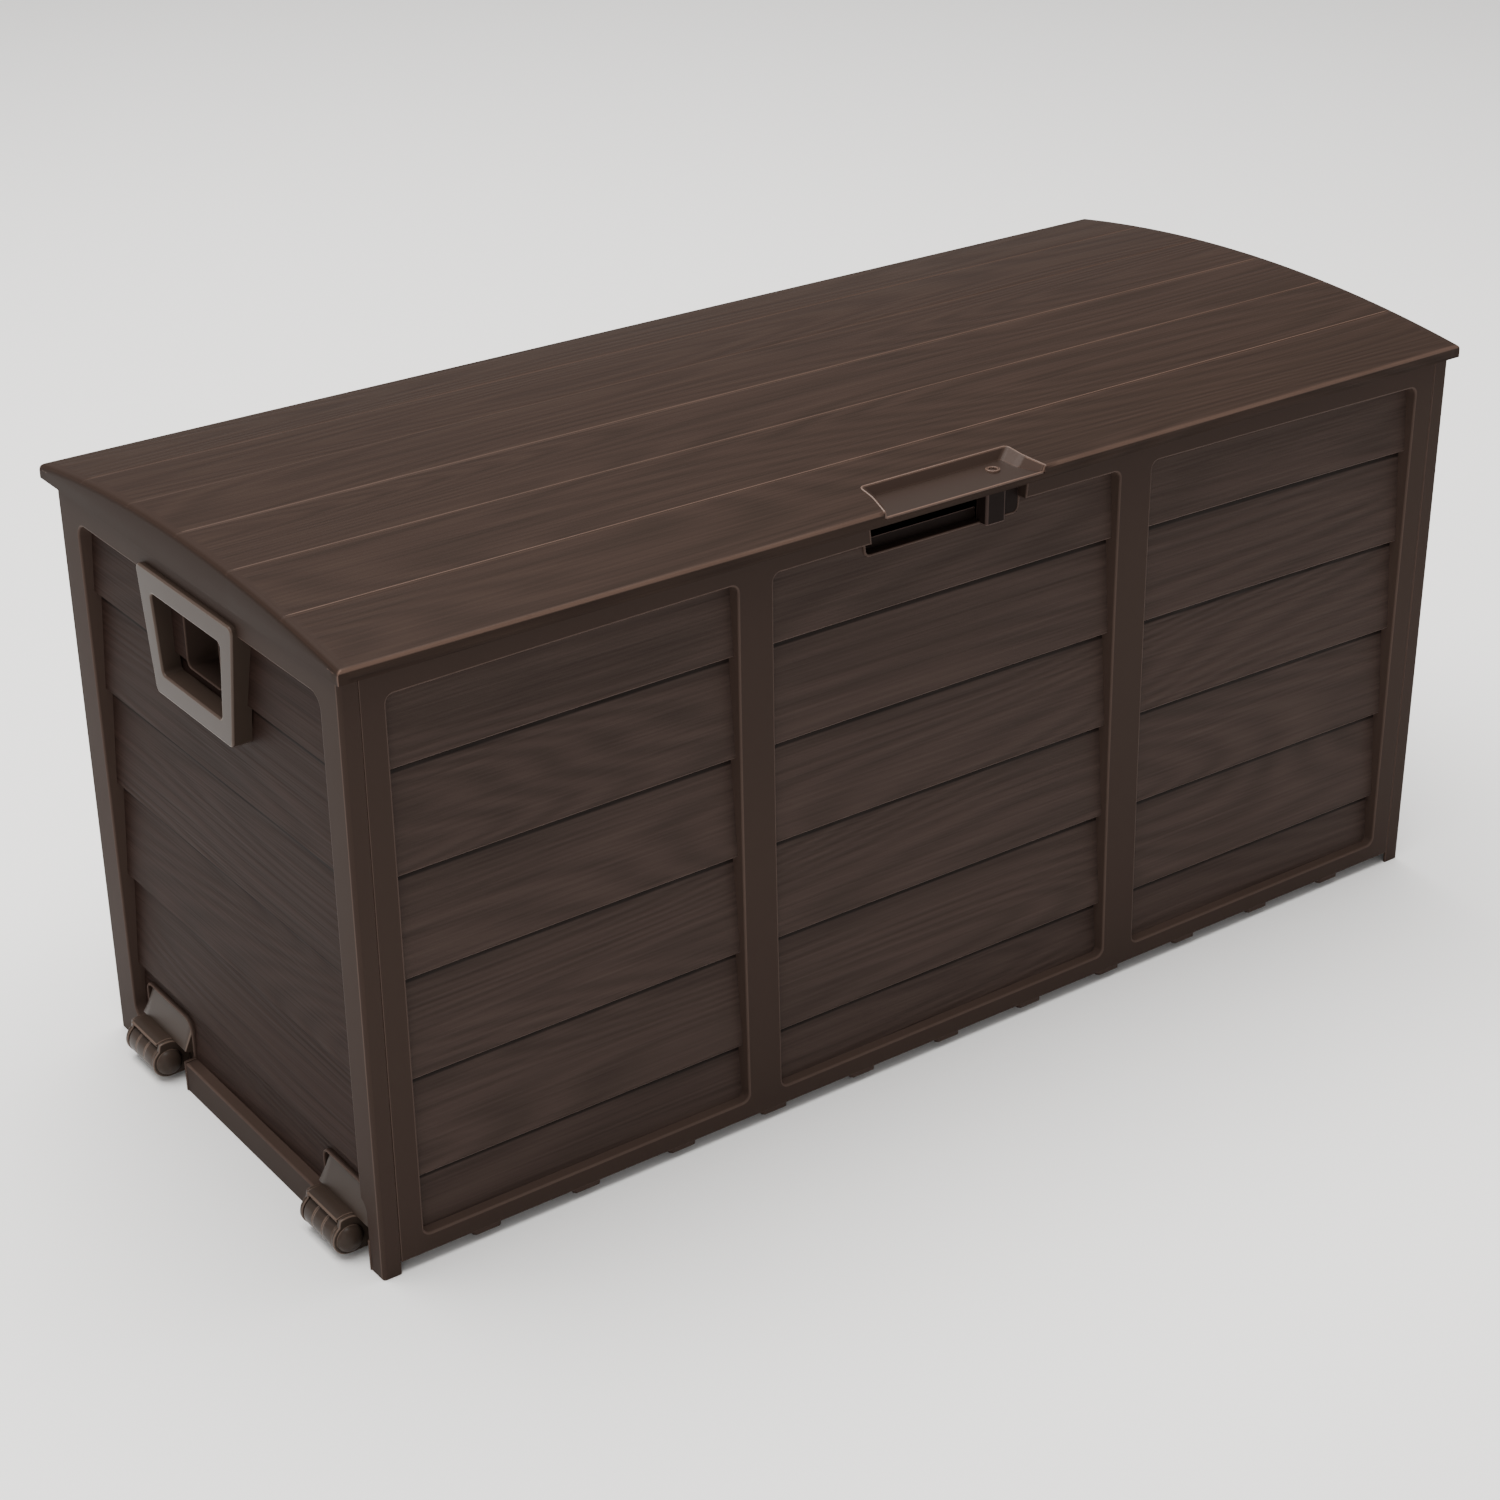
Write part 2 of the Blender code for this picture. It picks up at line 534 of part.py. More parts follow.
def build_lid(material):
    xs = [-LID_X + 2 * LID_X * k / 4 for k in range(5)]
    rows = [-LID_Y]
    for k in range(LID_BOARDS):
        middle = (k - (LID_BOARDS - 1) / 2) * LID_BOARD_PITCH
        rows += [middle - LID_BOARD_PITCH / 2 + GROOVE_HALF, middle, middle + LID_BOARD_PITCH / 2 - GROOVE_HALF]
        if k < LID_BOARDS - 1:
            rows.append(middle + LID_BOARD_PITCH / 2)
    rows = [rows[0]] + rows[2:-1] + [LID_Y]
    grooves = [(k - (LID_BOARDS - 2) / 2) * LID_BOARD_PITCH for k in range(LID_BOARDS - 1)]

    def top(y):
        sunk = any(abs(y - g) < GROOVE_HALF / 2 for g in grooves)
        return lid_height(y) - (GROOVE_DEPTH if sunk else 0.0)

    outer = [[(x, y, top(y)) for x in xs] for y in rows]
    scale_x = (LID_X - WALL) / LID_X
    scale_y = (LID_Y - WALL) / LID_Y
    inner = [[(x * scale_x, y * scale_y, lid_height(y) - WALL) for x in xs] for y in rows]
    lid = add_object("lid", shell(outer, inner, skirt=LID_RIM_BOTTOM), material,
                     (0.0, HINGE_Y, HINGE_Z))

    under = loft(mirrored_outline([(x, max(y, -LID_Y + 0.0005)) for x, y in TRAY_FLOOR_OUTLINE[:3]],
                                  GRIP_X + 0.0005, WALL),
                 mirrored_outline([(x, max(y, -LID_Y + 0.0005)) for x, y in TRAY_TOP_OUTLINE[:3]],
                                  GRIP_X + 0.0005, WALL),
                 TRAY_FLOOR - WALL, LID_RIM_TOP + 0.0010)
    combine(lid, add_cutter("tray_under", under), "UNION")
    rise = 0.5300
    hollow = loft(mirrored_outline(TRAY_FLOOR_OUTLINE, GRIP_X + 0.0005),
                  mirrored_outline(TRAY_TOP_OUTLINE, GRIP_X + 0.0005), TRAY_FLOOR, rise)
    combine(lid, add_cutter("tray_hollow", hollow), "DIFFERENCE")
    hole = prism(arc((LOCK_X, LOCK_Y), LOCK_HOLE, 0, 345, 23), "Z", TRAY_FLOOR - 0.01, TRAY_FLOOR + 0.01)
    combine(lid, add_cutter("lid_lock_bore", hole), "DIFFERENCE")

    web = 0.0036
    angle = math.degrees(math.acos(web / KNUCKLE_R))
    outline = [(HINGE_Y + web, lid_height(HINGE_Y) - WALL / 2), (HINGE_Y - web, lid_height(HINGE_Y) - WALL / 2)]
    outline += arc((HINGE_Y, HINGE_Z), KNUCKLE_R, 180 - angle, 360 + angle, 14)
    for index, centre in enumerate(HINGE_X):
        notch = box((centre - SKIRT_NOTCH_HALF, LID_Y - WALL - 0.0005, LID_RIM_BOTTOM - 0.01),
                    (centre + SKIRT_NOTCH_HALF, LID_Y + 0.01, HINGE_Z + KNUCKLE_R + 0.0008))
        combine(lid, add_cutter(f"skirt_notch_{index}", notch), "DIFFERENCE")
        knuckle = prism(outline, "X", centre - KNUCKLE_HALF, centre + KNUCKLE_HALF)
        combine(lid, add_cutter(f"lid_knuckle_{index}", knuckle), "UNION")
        bore = prism(arc((HINGE_Y, HINGE_Z), PIN_BORE, 0, 337.5, 15), "X",
                     centre - KNUCKLE_HALF - 0.001, centre + KNUCKLE_HALF + 0.001)
        combine(lid, add_cutter(f"lid_bore_{index}", bore), "DIFFERENCE")
    return lid


def build_hinge_pin(index, centre, material):
    """A headed pin through one hinge's three knuckles."""
    reach = KNUCKLE_HALF + GAP + LUG_WIDTH
    profile = [(PIN_HEAD_R, -reach - GAP - 0.0020), (PIN_HEAD_R, -reach - GAP), (PIN_R, -reach - GAP),
               (PIN_R, reach + 0.0020)]
    mesh_data = turned_along_y(profile, (0.0, 0.0), 16)
    for vertex in mesh_data.verts:
        x, y, z = vertex.co
        vertex.co = (centre + y, HINGE_Y + x, HINGE_Z + z)
    return add_object(f"hinge_pin_{index + 1}", mesh_data, material, round_piece=True)


def build_floor(material):
    """The floor tray: plate, tongues under the long panels, and runners on the ground."""
    floor = add_object("floor_panel", box((-FLOOR_HALF_X, FLOOR_FRONT, FLOOR_BOTTOM),
                                          (FLOOR_HALF_X, FLOOR_BACK, FLOOR_TOP)), material)
    for k in range(TAB_COUNT):
        centre = (k - (TAB_COUNT - 1) / 2) * TAB_PITCH
        tongue = box((centre - TAB_HALF, FRONT_Y + TAB_REACH, FLOOR_BOTTOM + 0.0002),
                     (centre + TAB_HALF, BACK_Y - TAB_REACH, FLOOR_TOP - 0.0002))
        combine(floor, add_cutter(f"tongue_{k}", tongue), "UNION")
    for k, centre in enumerate(RUNNER_X):
        runner = box((centre - RUNNER_HALF_X, -RUNNER_HALF_Y, 0.0),
                     (centre + RUNNER_HALF_X, RUNNER_HALF_Y, (FLOOR_BOTTOM + FLOOR_TOP) / 2))
        combine(floor, add_cutter(f"runner_{k}", runner), "UNION")
    for place, far in ROLLER_POCKETS:
        room = box((-0.60, far - POCKET_WIDTH - 0.001, -0.01), (BRACKET_BACK_X + WALL + 0.001, far + 0.001, 0.02))
        combine(floor, add_cutter(place + "_floor_notch", room), "DIFFERENCE")
    return floor


def main():
    clear_scene()
    body = plastic("body_brown", (0.052, 0.036, 0.031), 0.55)
    lid_finish = plastic("lid_brown", (0.100, 0.070, 0.057), 0.50)
    handle_finish = plastic("handle_brown", (0.105, 0.080, 0.066), 0.42)
    wheel_finish = plastic("roller_brown", (0.080, 0.055, 0.045), 0.45)
    pin_finish = plastic("pin_black", (0.012, 0.011, 0.011), 0.40)

    build_floor(body)
    build_front_panel(body)
    build_lock_shelf(body)
    build_back_panel(body)
    build_end_panel("left_end_panel", -1, body)
    build_end_panel("right_end_panel", 1, body)
    build_lid(lid_finish)
    build_handle("left_handle", -1, handle_finish)
    build_handle("right_handle", 1, handle_finish)
    for place, far in ROLLER_POCKETS:
        build_roller_bracket(place, far, wheel_finish)
        build_roller(place, far, wheel_finish)
        build_axle(place, far, pin_finish)
    for index, centre in enumerate(HINGE_X):
        build_hinge_pin(index, centre, pin_finish)


main()
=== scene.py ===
"""A moulded garden storage box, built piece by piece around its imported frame.

Every piece is modelled in metres, from the middle of the lid: +X runs along the box, the
front faces -Y and +Z is up.  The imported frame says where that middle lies.
"""

from __future__ import annotations

import logging
import math
from dataclasses import dataclass, field
from enum import Enum
from typing import Callable, Iterable, Sequence

import bmesh
import bpy
from mathutils import Matrix, Vector


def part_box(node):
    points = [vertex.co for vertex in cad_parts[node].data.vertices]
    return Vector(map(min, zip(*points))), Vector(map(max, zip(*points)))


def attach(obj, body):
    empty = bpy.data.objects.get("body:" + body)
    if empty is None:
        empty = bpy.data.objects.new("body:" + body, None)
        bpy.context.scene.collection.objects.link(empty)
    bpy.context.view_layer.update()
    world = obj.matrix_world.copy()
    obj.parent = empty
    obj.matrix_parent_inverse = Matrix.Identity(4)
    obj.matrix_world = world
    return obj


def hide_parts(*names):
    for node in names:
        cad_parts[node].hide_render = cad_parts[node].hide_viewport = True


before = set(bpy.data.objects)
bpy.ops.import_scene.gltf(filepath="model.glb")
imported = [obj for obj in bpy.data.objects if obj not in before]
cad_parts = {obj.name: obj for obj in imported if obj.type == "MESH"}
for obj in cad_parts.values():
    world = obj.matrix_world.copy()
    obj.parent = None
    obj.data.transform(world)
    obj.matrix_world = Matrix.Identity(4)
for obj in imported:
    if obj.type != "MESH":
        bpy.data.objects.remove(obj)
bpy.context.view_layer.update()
LOG = logging.getLogger("storage_box")

Flat = tuple[float, float]
Point = tuple[float, float, float]
Colour = tuple[float, float, float]

SHARP_ANGLE = math.radians(38)
WEAR_AND_HIGHLIGHT_FROM = 300.0
WEAR_AND_HIGHLIGHT_FULL = 700.0
DENSE_MESH = 20000


class Body(Enum):
    """The rigid bodies a piece can ride on."""

    BOX = "box"
    LID = "lid"
    FRONT_ROLLER = "front_roller"
    REAR_ROLLER = "rear_roller"


class Grain(Enum):
    """Which way a moulding's embossed wood grain runs."""

    NONE = "none"
    ALONG_X = "x"
    ALONG_Y = "y"


class Side(Enum):
    """One of two opposite sides, as a sign."""

    LOW = -1
    HIGH = 1


# ---- finishes -------------------------------------------------------------------


class NodeSheet:
    """A small helper that lays out and links the nodes of one tree."""

    def __init__(self, tree: bpy.types.NodeTree) -> None:
        """Start on an empty tree.

        Args:
            tree: The node tree to fill.
        """
        self.tree = tree

    def add(self, kind: str, inputs: dict | None = None, **settings: object) -> bpy.types.Node:
        """Add a node, set its properties and fill or link its inputs.

        Args:
            kind: The node's type name.
            inputs: Socket name or number to a value, or to an output socket to link.
            **settings: Properties to set on the node before its inputs.

        Returns:
            The new node.
        """
        node = self.tree.nodes.new(kind)
        for key, value in settings.items():
            setattr(node, key, value)
        for key, value in (inputs or {}).items():
            self.feed(node.inputs[key], value)
        return node

    def feed(self, socket: bpy.types.NodeSocket, value: object) -> None:
        """Link a socket to an output, or set its value.

        Args:
            socket: The input socket.
            value: An output socket or a plain value.
        """
        if isinstance(value, bpy.types.NodeSocket):
            self.tree.links.new(value, socket)
        else:
            socket.default_value = value

    def math(self, operation: str, *values: object) -> bpy.types.NodeSocket:
        """Add a Math node and return its output."""
        node = self.add("ShaderNodeMath", operation=operation)
        for socket, value in zip(node.inputs, values):
            self.feed(socket, value)
        return node.outputs[0]

    def vector(self, x: object = 0.0, y: object = 0.0, z: object = 0.0) -> bpy.types.NodeSocket:
        """Add a Combine XYZ node and return its vector."""
        return self.add("ShaderNodeCombineXYZ", {0: x, 1: y, 2: z}).outputs[0]

    def axes(self, vector: bpy.types.NodeSocket) -> list[bpy.types.NodeSocket]:
        """Add a Separate XYZ node and return its three outputs."""
        return list(self.add("ShaderNodeSeparateXYZ", {0: vector}).outputs)


@dataclass(frozen=True)
class MouldedPlastic:
    """A moulded polypropylene finish: colour, grain, mould texture, handling wear with painted edge highlights, and
    painted shadow under lapped boards.
    """

    name: str
    slot: str
    colour: Colour
    roughness: float = 0.5
    grain: Grain = Grain.NONE
    emboss: float = 0.5
    ring_count: float = 26.0
    ring_depth: float = 0.62
    fibre_depth: float = 1.3
    ring_tone: float = 0.30
    fibre_tone: float = 0.62
    ring_length: float = 1.3
    ring_width: float = 11.0
    fibre_length: float = 7.0
    fibre_width: float = 420.0
    # edge_light and edge_gain set the painted edge highlight, which also stands for wear: how strongly it shows and
    # how much lighter its colour is.
    edge_light: float = 0.55
    edge_gain: float = 3.2
    mottle: float = 0.10
    stipple: float = 0.10
    specular: float = 0.12
    # The lap fields place a painted shadow under each board's nose and a painted highlight along the nose.
    lap_start: float = 0.0
    lap_pitch: float = 0.0
    lap_shadow: float = 0.0070
    lap_fade: float = 0.0016
    lap_glint: float = 0.0016
    lap_dark: float = 0.72
    nose_highlight: float = 0.16
    end_fade: float = 0.004
    plain_ends: float = 0.0

    def build(self) -> bpy.types.Material:
        """Make the material's node tree.

        Returns:
            The finished material.
        """
        material = bpy.data.materials.new(self.name)
        material.use_nodes = True
        sheet = NodeSheet(material.node_tree)
        shader = material.node_tree.nodes["Principled BSDF"]
        place = sheet.add("ShaderNodeTexCoord").outputs["Object"]
        board = sheet.add("ShaderNodeAttribute", attribute_name="board").outputs["Fac"]
        seed = sheet.math("MULTIPLY", board, 7.31)

        cloud = self._noise(sheet, place, (5.0, 5.0, 5.0), 3.0, seed)
        fine = self._noise(sheet, place, (900.0, 900.0, 900.0), 2.0, seed)
        height = sheet.math("MULTIPLY", fine, self.stipple)
        tone = sheet.math("MULTIPLY_ADD", sheet.math("SUBTRACT", cloud, 0.5), 2.0 * self.mottle, 1.0)
        if self.grain is not Grain.NONE:
            rings, fibres = self._grain(sheet, place, seed)
            grained = self._grained(sheet, place)
            rings = sheet.math("MULTIPLY", sheet.math("MULTIPLY", rings, self.ring_depth), grained)
            fibres = sheet.math("MULTIPLY", sheet.math("MULTIPLY", fibres, self.fibre_depth), grained)
            height = sheet.math("ADD", sheet.math("ADD", rings, fibres), height)
            shade = sheet.math("MULTIPLY_ADD", rings, self.ring_tone, sheet.math("MULTIPLY", fibres, self.fibre_tone))
            middle = (self.ring_tone * self.ring_depth + self.fibre_tone * self.fibre_depth) / 2
            mean = sheet.math("MULTIPLY", grained, middle)
            tone = sheet.math("ADD", tone, sheet.math("SUBTRACT", shade, mean))

        # Painted highlight: tight convex edges and the marked highlight lines are mixed towards a lighter, glossier
        # colour where light would catch them; this also stands for handling wear.
        edge = sheet.add("ShaderNodeAttribute", attribute_name="edge").outputs["Fac"]
        seam = sheet.add("ShaderNodeAttribute", attribute_name="seam").outputs["Fac"]
        edge = sheet.math("MAXIMUM", edge, seam)
        wear_and_highlight = sheet.math("MULTIPLY", edge, sheet.math("MULTIPLY_ADD", cloud, 0.8, 0.6))
        wear_and_highlight = sheet.math("MULTIPLY", wear_and_highlight, self.edge_light)
        # Painted shadow darkens the strip under each board's nose, where the board above shades it, and a painted
        # highlight lightens the nose's lower edge.
        if self.lap_pitch > 0.0:
            painted_lap_shadow, nose = self._laps(sheet, place)
            lit = sheet.math("SUBTRACT", 1.0, sheet.math("MULTIPLY", painted_lap_shadow, self.lap_dark))
            tone = sheet.math("MULTIPLY", tone, lit)
            wear_and_highlight = sheet.math("MULTIPLY_ADD", nose, self.nose_highlight, wear_and_highlight)
        colour = sheet.add("ShaderNodeVectorMath", operation="SCALE")
        colour.inputs[0].default_value = self.colour
        sheet.feed(colour.inputs["Scale"], tone)
        light = tuple(c * self.edge_gain + 0.006 for c in self.colour)
        mixed = sheet.add("ShaderNodeMix", data_type="RGBA", clamp_factor=True)
        sheet.feed(mixed.inputs[0], wear_and_highlight)
        sheet.feed(mixed.inputs[6], colour.outputs[0])
        mixed.inputs[7].default_value = (*light, 1.0)
        sheet.feed(shader.inputs["Base Color"], mixed.outputs[2])

        matt = sheet.math("MULTIPLY_ADD", sheet.math("SUBTRACT", cloud, 0.5), 0.16, self.roughness)
        matt = sheet.math("SUBTRACT", matt, sheet.math("MULTIPLY", wear_and_highlight, 0.18))
        sheet.feed(shader.inputs["Roughness"], sheet.math("MAXIMUM", matt, 0.15))
        shader.inputs["Specular IOR Level"].default_value = self.specular
        bump = sheet.add("ShaderNodeBump", {"Height": height})
        bump.inputs["Strength"].default_value = self.emboss
        bump.inputs["Distance"].default_value = 0.0005
        sheet.feed(shader.inputs["Normal"], bump.outputs[0])
        return material

    @staticmethod
    def _noise(sheet: NodeSheet, place: bpy.types.NodeSocket, scale: Point, detail: float,
               seed: bpy.types.NodeSocket) -> bpy.types.NodeSocket:
        """Add stretched noise that differs from board to board.

        Args:
            sheet: The tree to add it to.
            place: The coordinates to read.
            scale: How fine the noise is along X, Y and Z.
            detail: The noise's octaves.
            seed: The noise's fourth coordinate.

        Returns:
            The noise value.
        """
        spread = sheet.add("ShaderNodeVectorMath", {0: place, 1: scale}, operation="MULTIPLY")
        noise = sheet.add("ShaderNodeTexNoise", noise_dimensions="4D")
        sheet.feed(noise.inputs["Vector"], spread.outputs[0])
        sheet.feed(noise.inputs["W"], seed)
        noise.inputs["Scale"].default_value = 1.0
        noise.inputs["Detail"].default_value = detail
        return noise.outputs[0]

    def _grained(self, sheet: NodeSheet, place: bpy.types.NodeSocket) -> bpy.types.NodeSocket:
        """Where the grain shows: everywhere, or only short of the plain ends, from 0 to 1."""
        if self.plain_ends <= 0.0:
            return sheet.math("ADD", 1.0, 0.0)
        along = sheet.math("ABSOLUTE", sheet.math("SUBTRACT", sheet.axes(place)[0], BOX.centre.x))
        left = sheet.math("SUBTRACT", self.plain_ends, along)
        return sheet.math("MINIMUM", sheet.math("MAXIMUM", sheet.math("DIVIDE", left, self.end_fade), 0.0), 1.0)

    def _laps(self, sheet: NodeSheet,
              place: bpy.types.NodeSocket) -> tuple[bpy.types.NodeSocket, bpy.types.NodeSocket]:
        """Find the painted shadow strip under each board's nose, and the painted highlight along the nose itself.

        Args:
            sheet: The tree to add the nodes to.
            place: The coordinates to read.

        Returns:
            The painted shadow strip and the painted nose highlight, each from 0 to 1.
        """
        height = sheet.math("DIVIDE", sheet.math("SUBTRACT", sheet.axes(place)[2], self.lap_start), self.lap_pitch)
        up = sheet.math("MULTIPLY", sheet.math("FRACT", height), self.lap_pitch)
        under = sheet.math("SUBTRACT", up, self.lap_pitch - self.lap_shadow)
        painted_lap_shadow = sheet.math("MAXIMUM", sheet.math("DIVIDE", under, self.lap_fade), 0.0)
        nose = sheet.math("MAXIMUM", sheet.math("SUBTRACT", 1.0, sheet.math("DIVIDE", up, self.lap_glint)), 0.0)
        return sheet.math("MINIMUM", painted_lap_shadow, 1.0), nose

    def _grain(self, sheet: NodeSheet, place: bpy.types.NodeSocket,
               seed: bpy.types.NodeSocket) -> tuple[bpy.types.NodeSocket, bpy.types.NodeSocket]:
        """Add the growth rings and the fibres of an embossed plank.

        Args:
            sheet: The tree to add them to.
            place: The coordinates to read.
            seed: A value that differs from board to board.

        Returns:
            The rings and the fibres, each from 0 to 1.
        """
        along_x = self.grain is Grain.ALONG_X

        def stretch(length: float, width: float) -> Point:
            return (length, width, width) if along_x else (width, length, width)

        rings_scale = stretch(self.ring_length, self.ring_width)
        fibre_scale = stretch(self.fibre_length, self.fibre_width)
        field_value = self._noise(sheet, place, rings_scale, 0.6, seed)
        wave = sheet.math("SINE", sheet.math("MULTIPLY", field_value, self.ring_count * math.tau))
        rings = sheet.math("MULTIPLY_ADD", wave, 0.5, 0.5)
        fibres = self._noise(sheet, place, fibre_scale, 2.5, seed)
        return rings, fibres


@dataclass(frozen=True)
class Studio:
    """The floor, the lights and the camera around the box."""

    floor_half: float = 30.0
    lens: float = 70.325
    camera_place: Point = (-1.38952, -1.86712, 1.36068)
    azimuth: float = math.radians(-35.908)
    elevation: float = math.radians(26.709)
    roll: float = math.radians(-0.511)

    def build(self, centre: Vector) -> None:
        """Set up the studio.

        Args:
            centre: The ground point under the middle of the lid.
        """
        self._floor()
        self._lights()
        self._camera(centre)

    def _floor(self) -> None:
        """Lay a plain pale floor."""
        half = self.floor_half
        mesh = bpy.data.meshes.new("floor")
        mesh.from_pydata([(-half, -half, 0), (half, -half, 0), (half, half, 0), (-half, half, 0)], [], [(0, 1, 2, 3)])
        floor = bpy.data.objects.new("floor", mesh)
        bpy.context.scene.collection.objects.link(floor)
        material = bpy.data.materials.new("pale_floor")
        material.use_nodes = True
        shader = material.node_tree.nodes["Principled BSDF"]
        shader.inputs["Base Color"].default_value = (0.93, 0.93, 0.93, 1.0)
        shader.inputs["Roughness"].default_value = 0.9
        shader.inputs["Specular IOR Level"].default_value = 0.1
        mesh.materials.append(material)

    def _lights(self) -> None:
        """Hang the soft lamps and light the surroundings."""
        world = bpy.data.worlds.new("studio")
        bpy.context.scene.world = world
        world.use_nodes = True
        background = world.node_tree.nodes["Background"]
        background.inputs["Color"].default_value = (1.0, 0.985, 0.97, 1.0)
        background.inputs["Strength"].default_value = 0.5
        self._lamp("overhead", (-0.2, 0.5, 4.2), (0.0, 0.0, 0.3), 4.5, 500.0)
        self._lamp("left_fill", (-3.6, 0.2, 2.0), (0.0, 0.0, 0.3), 1.6, 8.0)
        self._lamp("front_fill", (-3.2, -3.6, 1.6), (0.0, 0.0, 0.3), 1.2, 26.0)

    @staticmethod
    def _lamp(name: str, place: Point, aim: Point, size: float, power: float) -> None:
        """Add one square area lamp.

        Args:
            name: The lamp's name.
            place: Where it hangs.
            aim: The point it faces.
            size: The length of its side.
            power: Its power in watts.
        """
        data = bpy.data.lights.new(name, "AREA")
        data.shape = "SQUARE"
        data.size = size
        data.energy = power
        data.color = (1.0, 0.98, 0.95)
        lamp = bpy.data.objects.new(name, data)
        lamp.location = place
        lamp.rotation_euler = (Vector(aim) - Vector(place)).to_track_quat("-Z", "Y").to_euler()
        bpy.context.scene.collection.objects.link(lamp)

    def _camera(self, centre: Vector) -> None:
        """Stand the camera to the left of the front, a little above the lid.

        Args:
            centre: The ground point under the middle of the lid.
        """
        az, el = self.azimuth, self.elevation
        back = Vector((math.sin(az) * math.cos(el), -math.cos(az) * math.cos(el), math.sin(el)))
        level = Vector((math.cos(az), math.sin(az), 0.0))
        upright = back.cross(level)
        right = math.cos(self.roll) * level + math.sin(self.roll) * upright
        up = -math.sin(self.roll) * level + math.cos(self.roll) * upright
        data = bpy.data.cameras.new("camera")
        data.lens = self.lens
        data.sensor_width = 36.0
        camera = bpy.data.objects.new("camera", data)
        turn = Matrix((right, up, back)).transposed().to_4x4()
        camera.matrix_world = Matrix.Translation(Vector(self.camera_place) + centre) @ turn
        bpy.context.scene.collection.objects.link(camera)
        bpy.context.scene.camera = camera


# ---- meshes -----------------------------------------------------------------------


def mark_edges(mesh: bpy.types.Mesh) -> None:
    """Store how tightly each face curves outwards, so that tight edges can be painted lighter: a painted highlight
    that also stands for handling wear.

    Args:
        mesh: The mesh to give an "edge" attribute.
    """
    work = bmesh.new()
    work.from_mesh(mesh)
    work.normal_update()
    tight = [0.0] * len(work.faces)
    for edge in work.edges:
        if len(edge.link_faces) != 2:
            continue
        bend = edge.calc_face_angle_signed(0.0)
        if bend <= 0.0:
            continue
        for face in edge.link_faces:
            width = face.calc_area() / max(edge.calc_length(), 1e-6)
            value = (bend / max(width, 1e-5) - WEAR_AND_HIGHLIGHT_FROM) / (WEAR_AND_HIGHLIGHT_FULL - WEAR_AND_HIGHLIGHT_FROM)
            tight[face.index] = max(tight[face.index], min(1.0, value))
    work.free()
    old = mesh.attributes.get("edge")
    if old is not None:
        mesh.attributes.remove(old)
    mesh.attributes.new("edge", "FLOAT", "FACE").data.foreach_set("value", tight)


def number_boards(mesh: bpy.types.Mesh, axis: int, start: float, pitch: float) -> None:
    """Number each face by the board it lies on, so that no two boards share a grain.

    Args:
        mesh: The mesh to give a "board" attribute.
        axis: The axis that counts the boards, 1 for Y or 2 for Z.
        start: Where the first board starts.
        pitch: From one board to the next.
    """
    layer = mesh.attributes.new("board", "FLOAT", "FACE")
    layer.data.foreach_set("value", [math.floor((f.center[axis] - start) / pitch) + 9.0 for f in mesh.polygons])


def to_mesh(work: bmesh.types.BMesh, name: str) -> bpy.types.Mesh:
    """Turn a bmesh into a mesh and free it.

    Args:
        work: The bmesh.
        name: The mesh's name.

    Returns:
        The mesh, its faces pointing out.
    """
    bmesh.ops.recalc_face_normals(work, faces=work.faces)
    mesh = bpy.data.meshes.new(name)
    work.to_mesh(mesh)
    work.free()
    return mesh


def evaluated(thing: bpy.types.Object, name: str) -> bpy.types.Mesh:
    """Read an object's evaluated mesh and remove the object.

    Args:
        thing: The object, with its modifiers.
        name: The new mesh's name.

    Returns:
        A plain mesh.
    """
    graph = bpy.context.evaluated_depsgraph_get()
    mesh = bpy.data.meshes.new_from_object(thing.evaluated_get(graph), preserve_all_data_layers=True,
                                           depsgraph=graph)
    mesh.name = name
    bpy.data.objects.remove(thing, do_unlink=True)
    return mesh


def bench(mesh: bpy.types.Mesh) -> bpy.types.Object:
    """Put a mesh on a work object in the scene."""
    thing = bpy.data.objects.new("work_" + mesh.name, mesh)
    bpy.context.scene.collection.objects.link(thing)
    return thing


def carve(mesh: bpy.types.Mesh, tool: bpy.types.Mesh, overlapping: bool = False) -> bpy.types.Mesh:
    """Cut a mesh with another one.

    Args:
        mesh: The mesh to work on.
        tool: A closed mesh.
        overlapping: Whether the mesh is made of parts that run into each other.

    Returns:
        The carved mesh.
    """
    target, knife = bench(mesh), bench(tool)
    modifier = target.modifiers.new("carve", "BOOLEAN")
    modifier.operation = "DIFFERENCE"
    modifier.solver = "EXACT"
    modifier.use_self = overlapping
    modifier.object = knife
    result = evaluated(target, mesh.name)
    bpy.data.objects.remove(knife, do_unlink=True)
    return result


def thicken(mesh: bpy.types.Mesh, wall: float) -> bpy.types.Mesh:
    """Give an open sheet a wall on its inner side."""
    thing = bench(mesh)
    modifier = thing.modifiers.new("wall", "SOLIDIFY")
    modifier.thickness = wall
    modifier.offset = -1.0
    modifier.use_even_offset = True
    return evaluated(thing, mesh.name)


def flattened(mesh: bpy.types.Mesh) -> bpy.types.Mesh:
    """Let the large faces set the shading, so that only the narrow rounded ones turn the light."""
    thing = bench(mesh)
    modifier = thing.modifiers.new("flat", "WEIGHTED_NORMAL")
    modifier.keep_sharp = True
    modifier.weight = 60
    return evaluated(thing, mesh.name)


def merged(meshes: Sequence[bpy.types.Mesh], name: str) -> bpy.types.Mesh:
    """Join several meshes into one.

    Args:
        meshes: The meshes, which are removed.
        name: The new mesh's name.

    Returns:
        The joined mesh.
    """
    work = bmesh.new()
    for mesh in meshes:
        work.from_mesh(mesh)
        bpy.data.meshes.remove(mesh)
    joined = bpy.data.meshes.new(name)
    work.to_mesh(joined)
    work.free()
    return joined


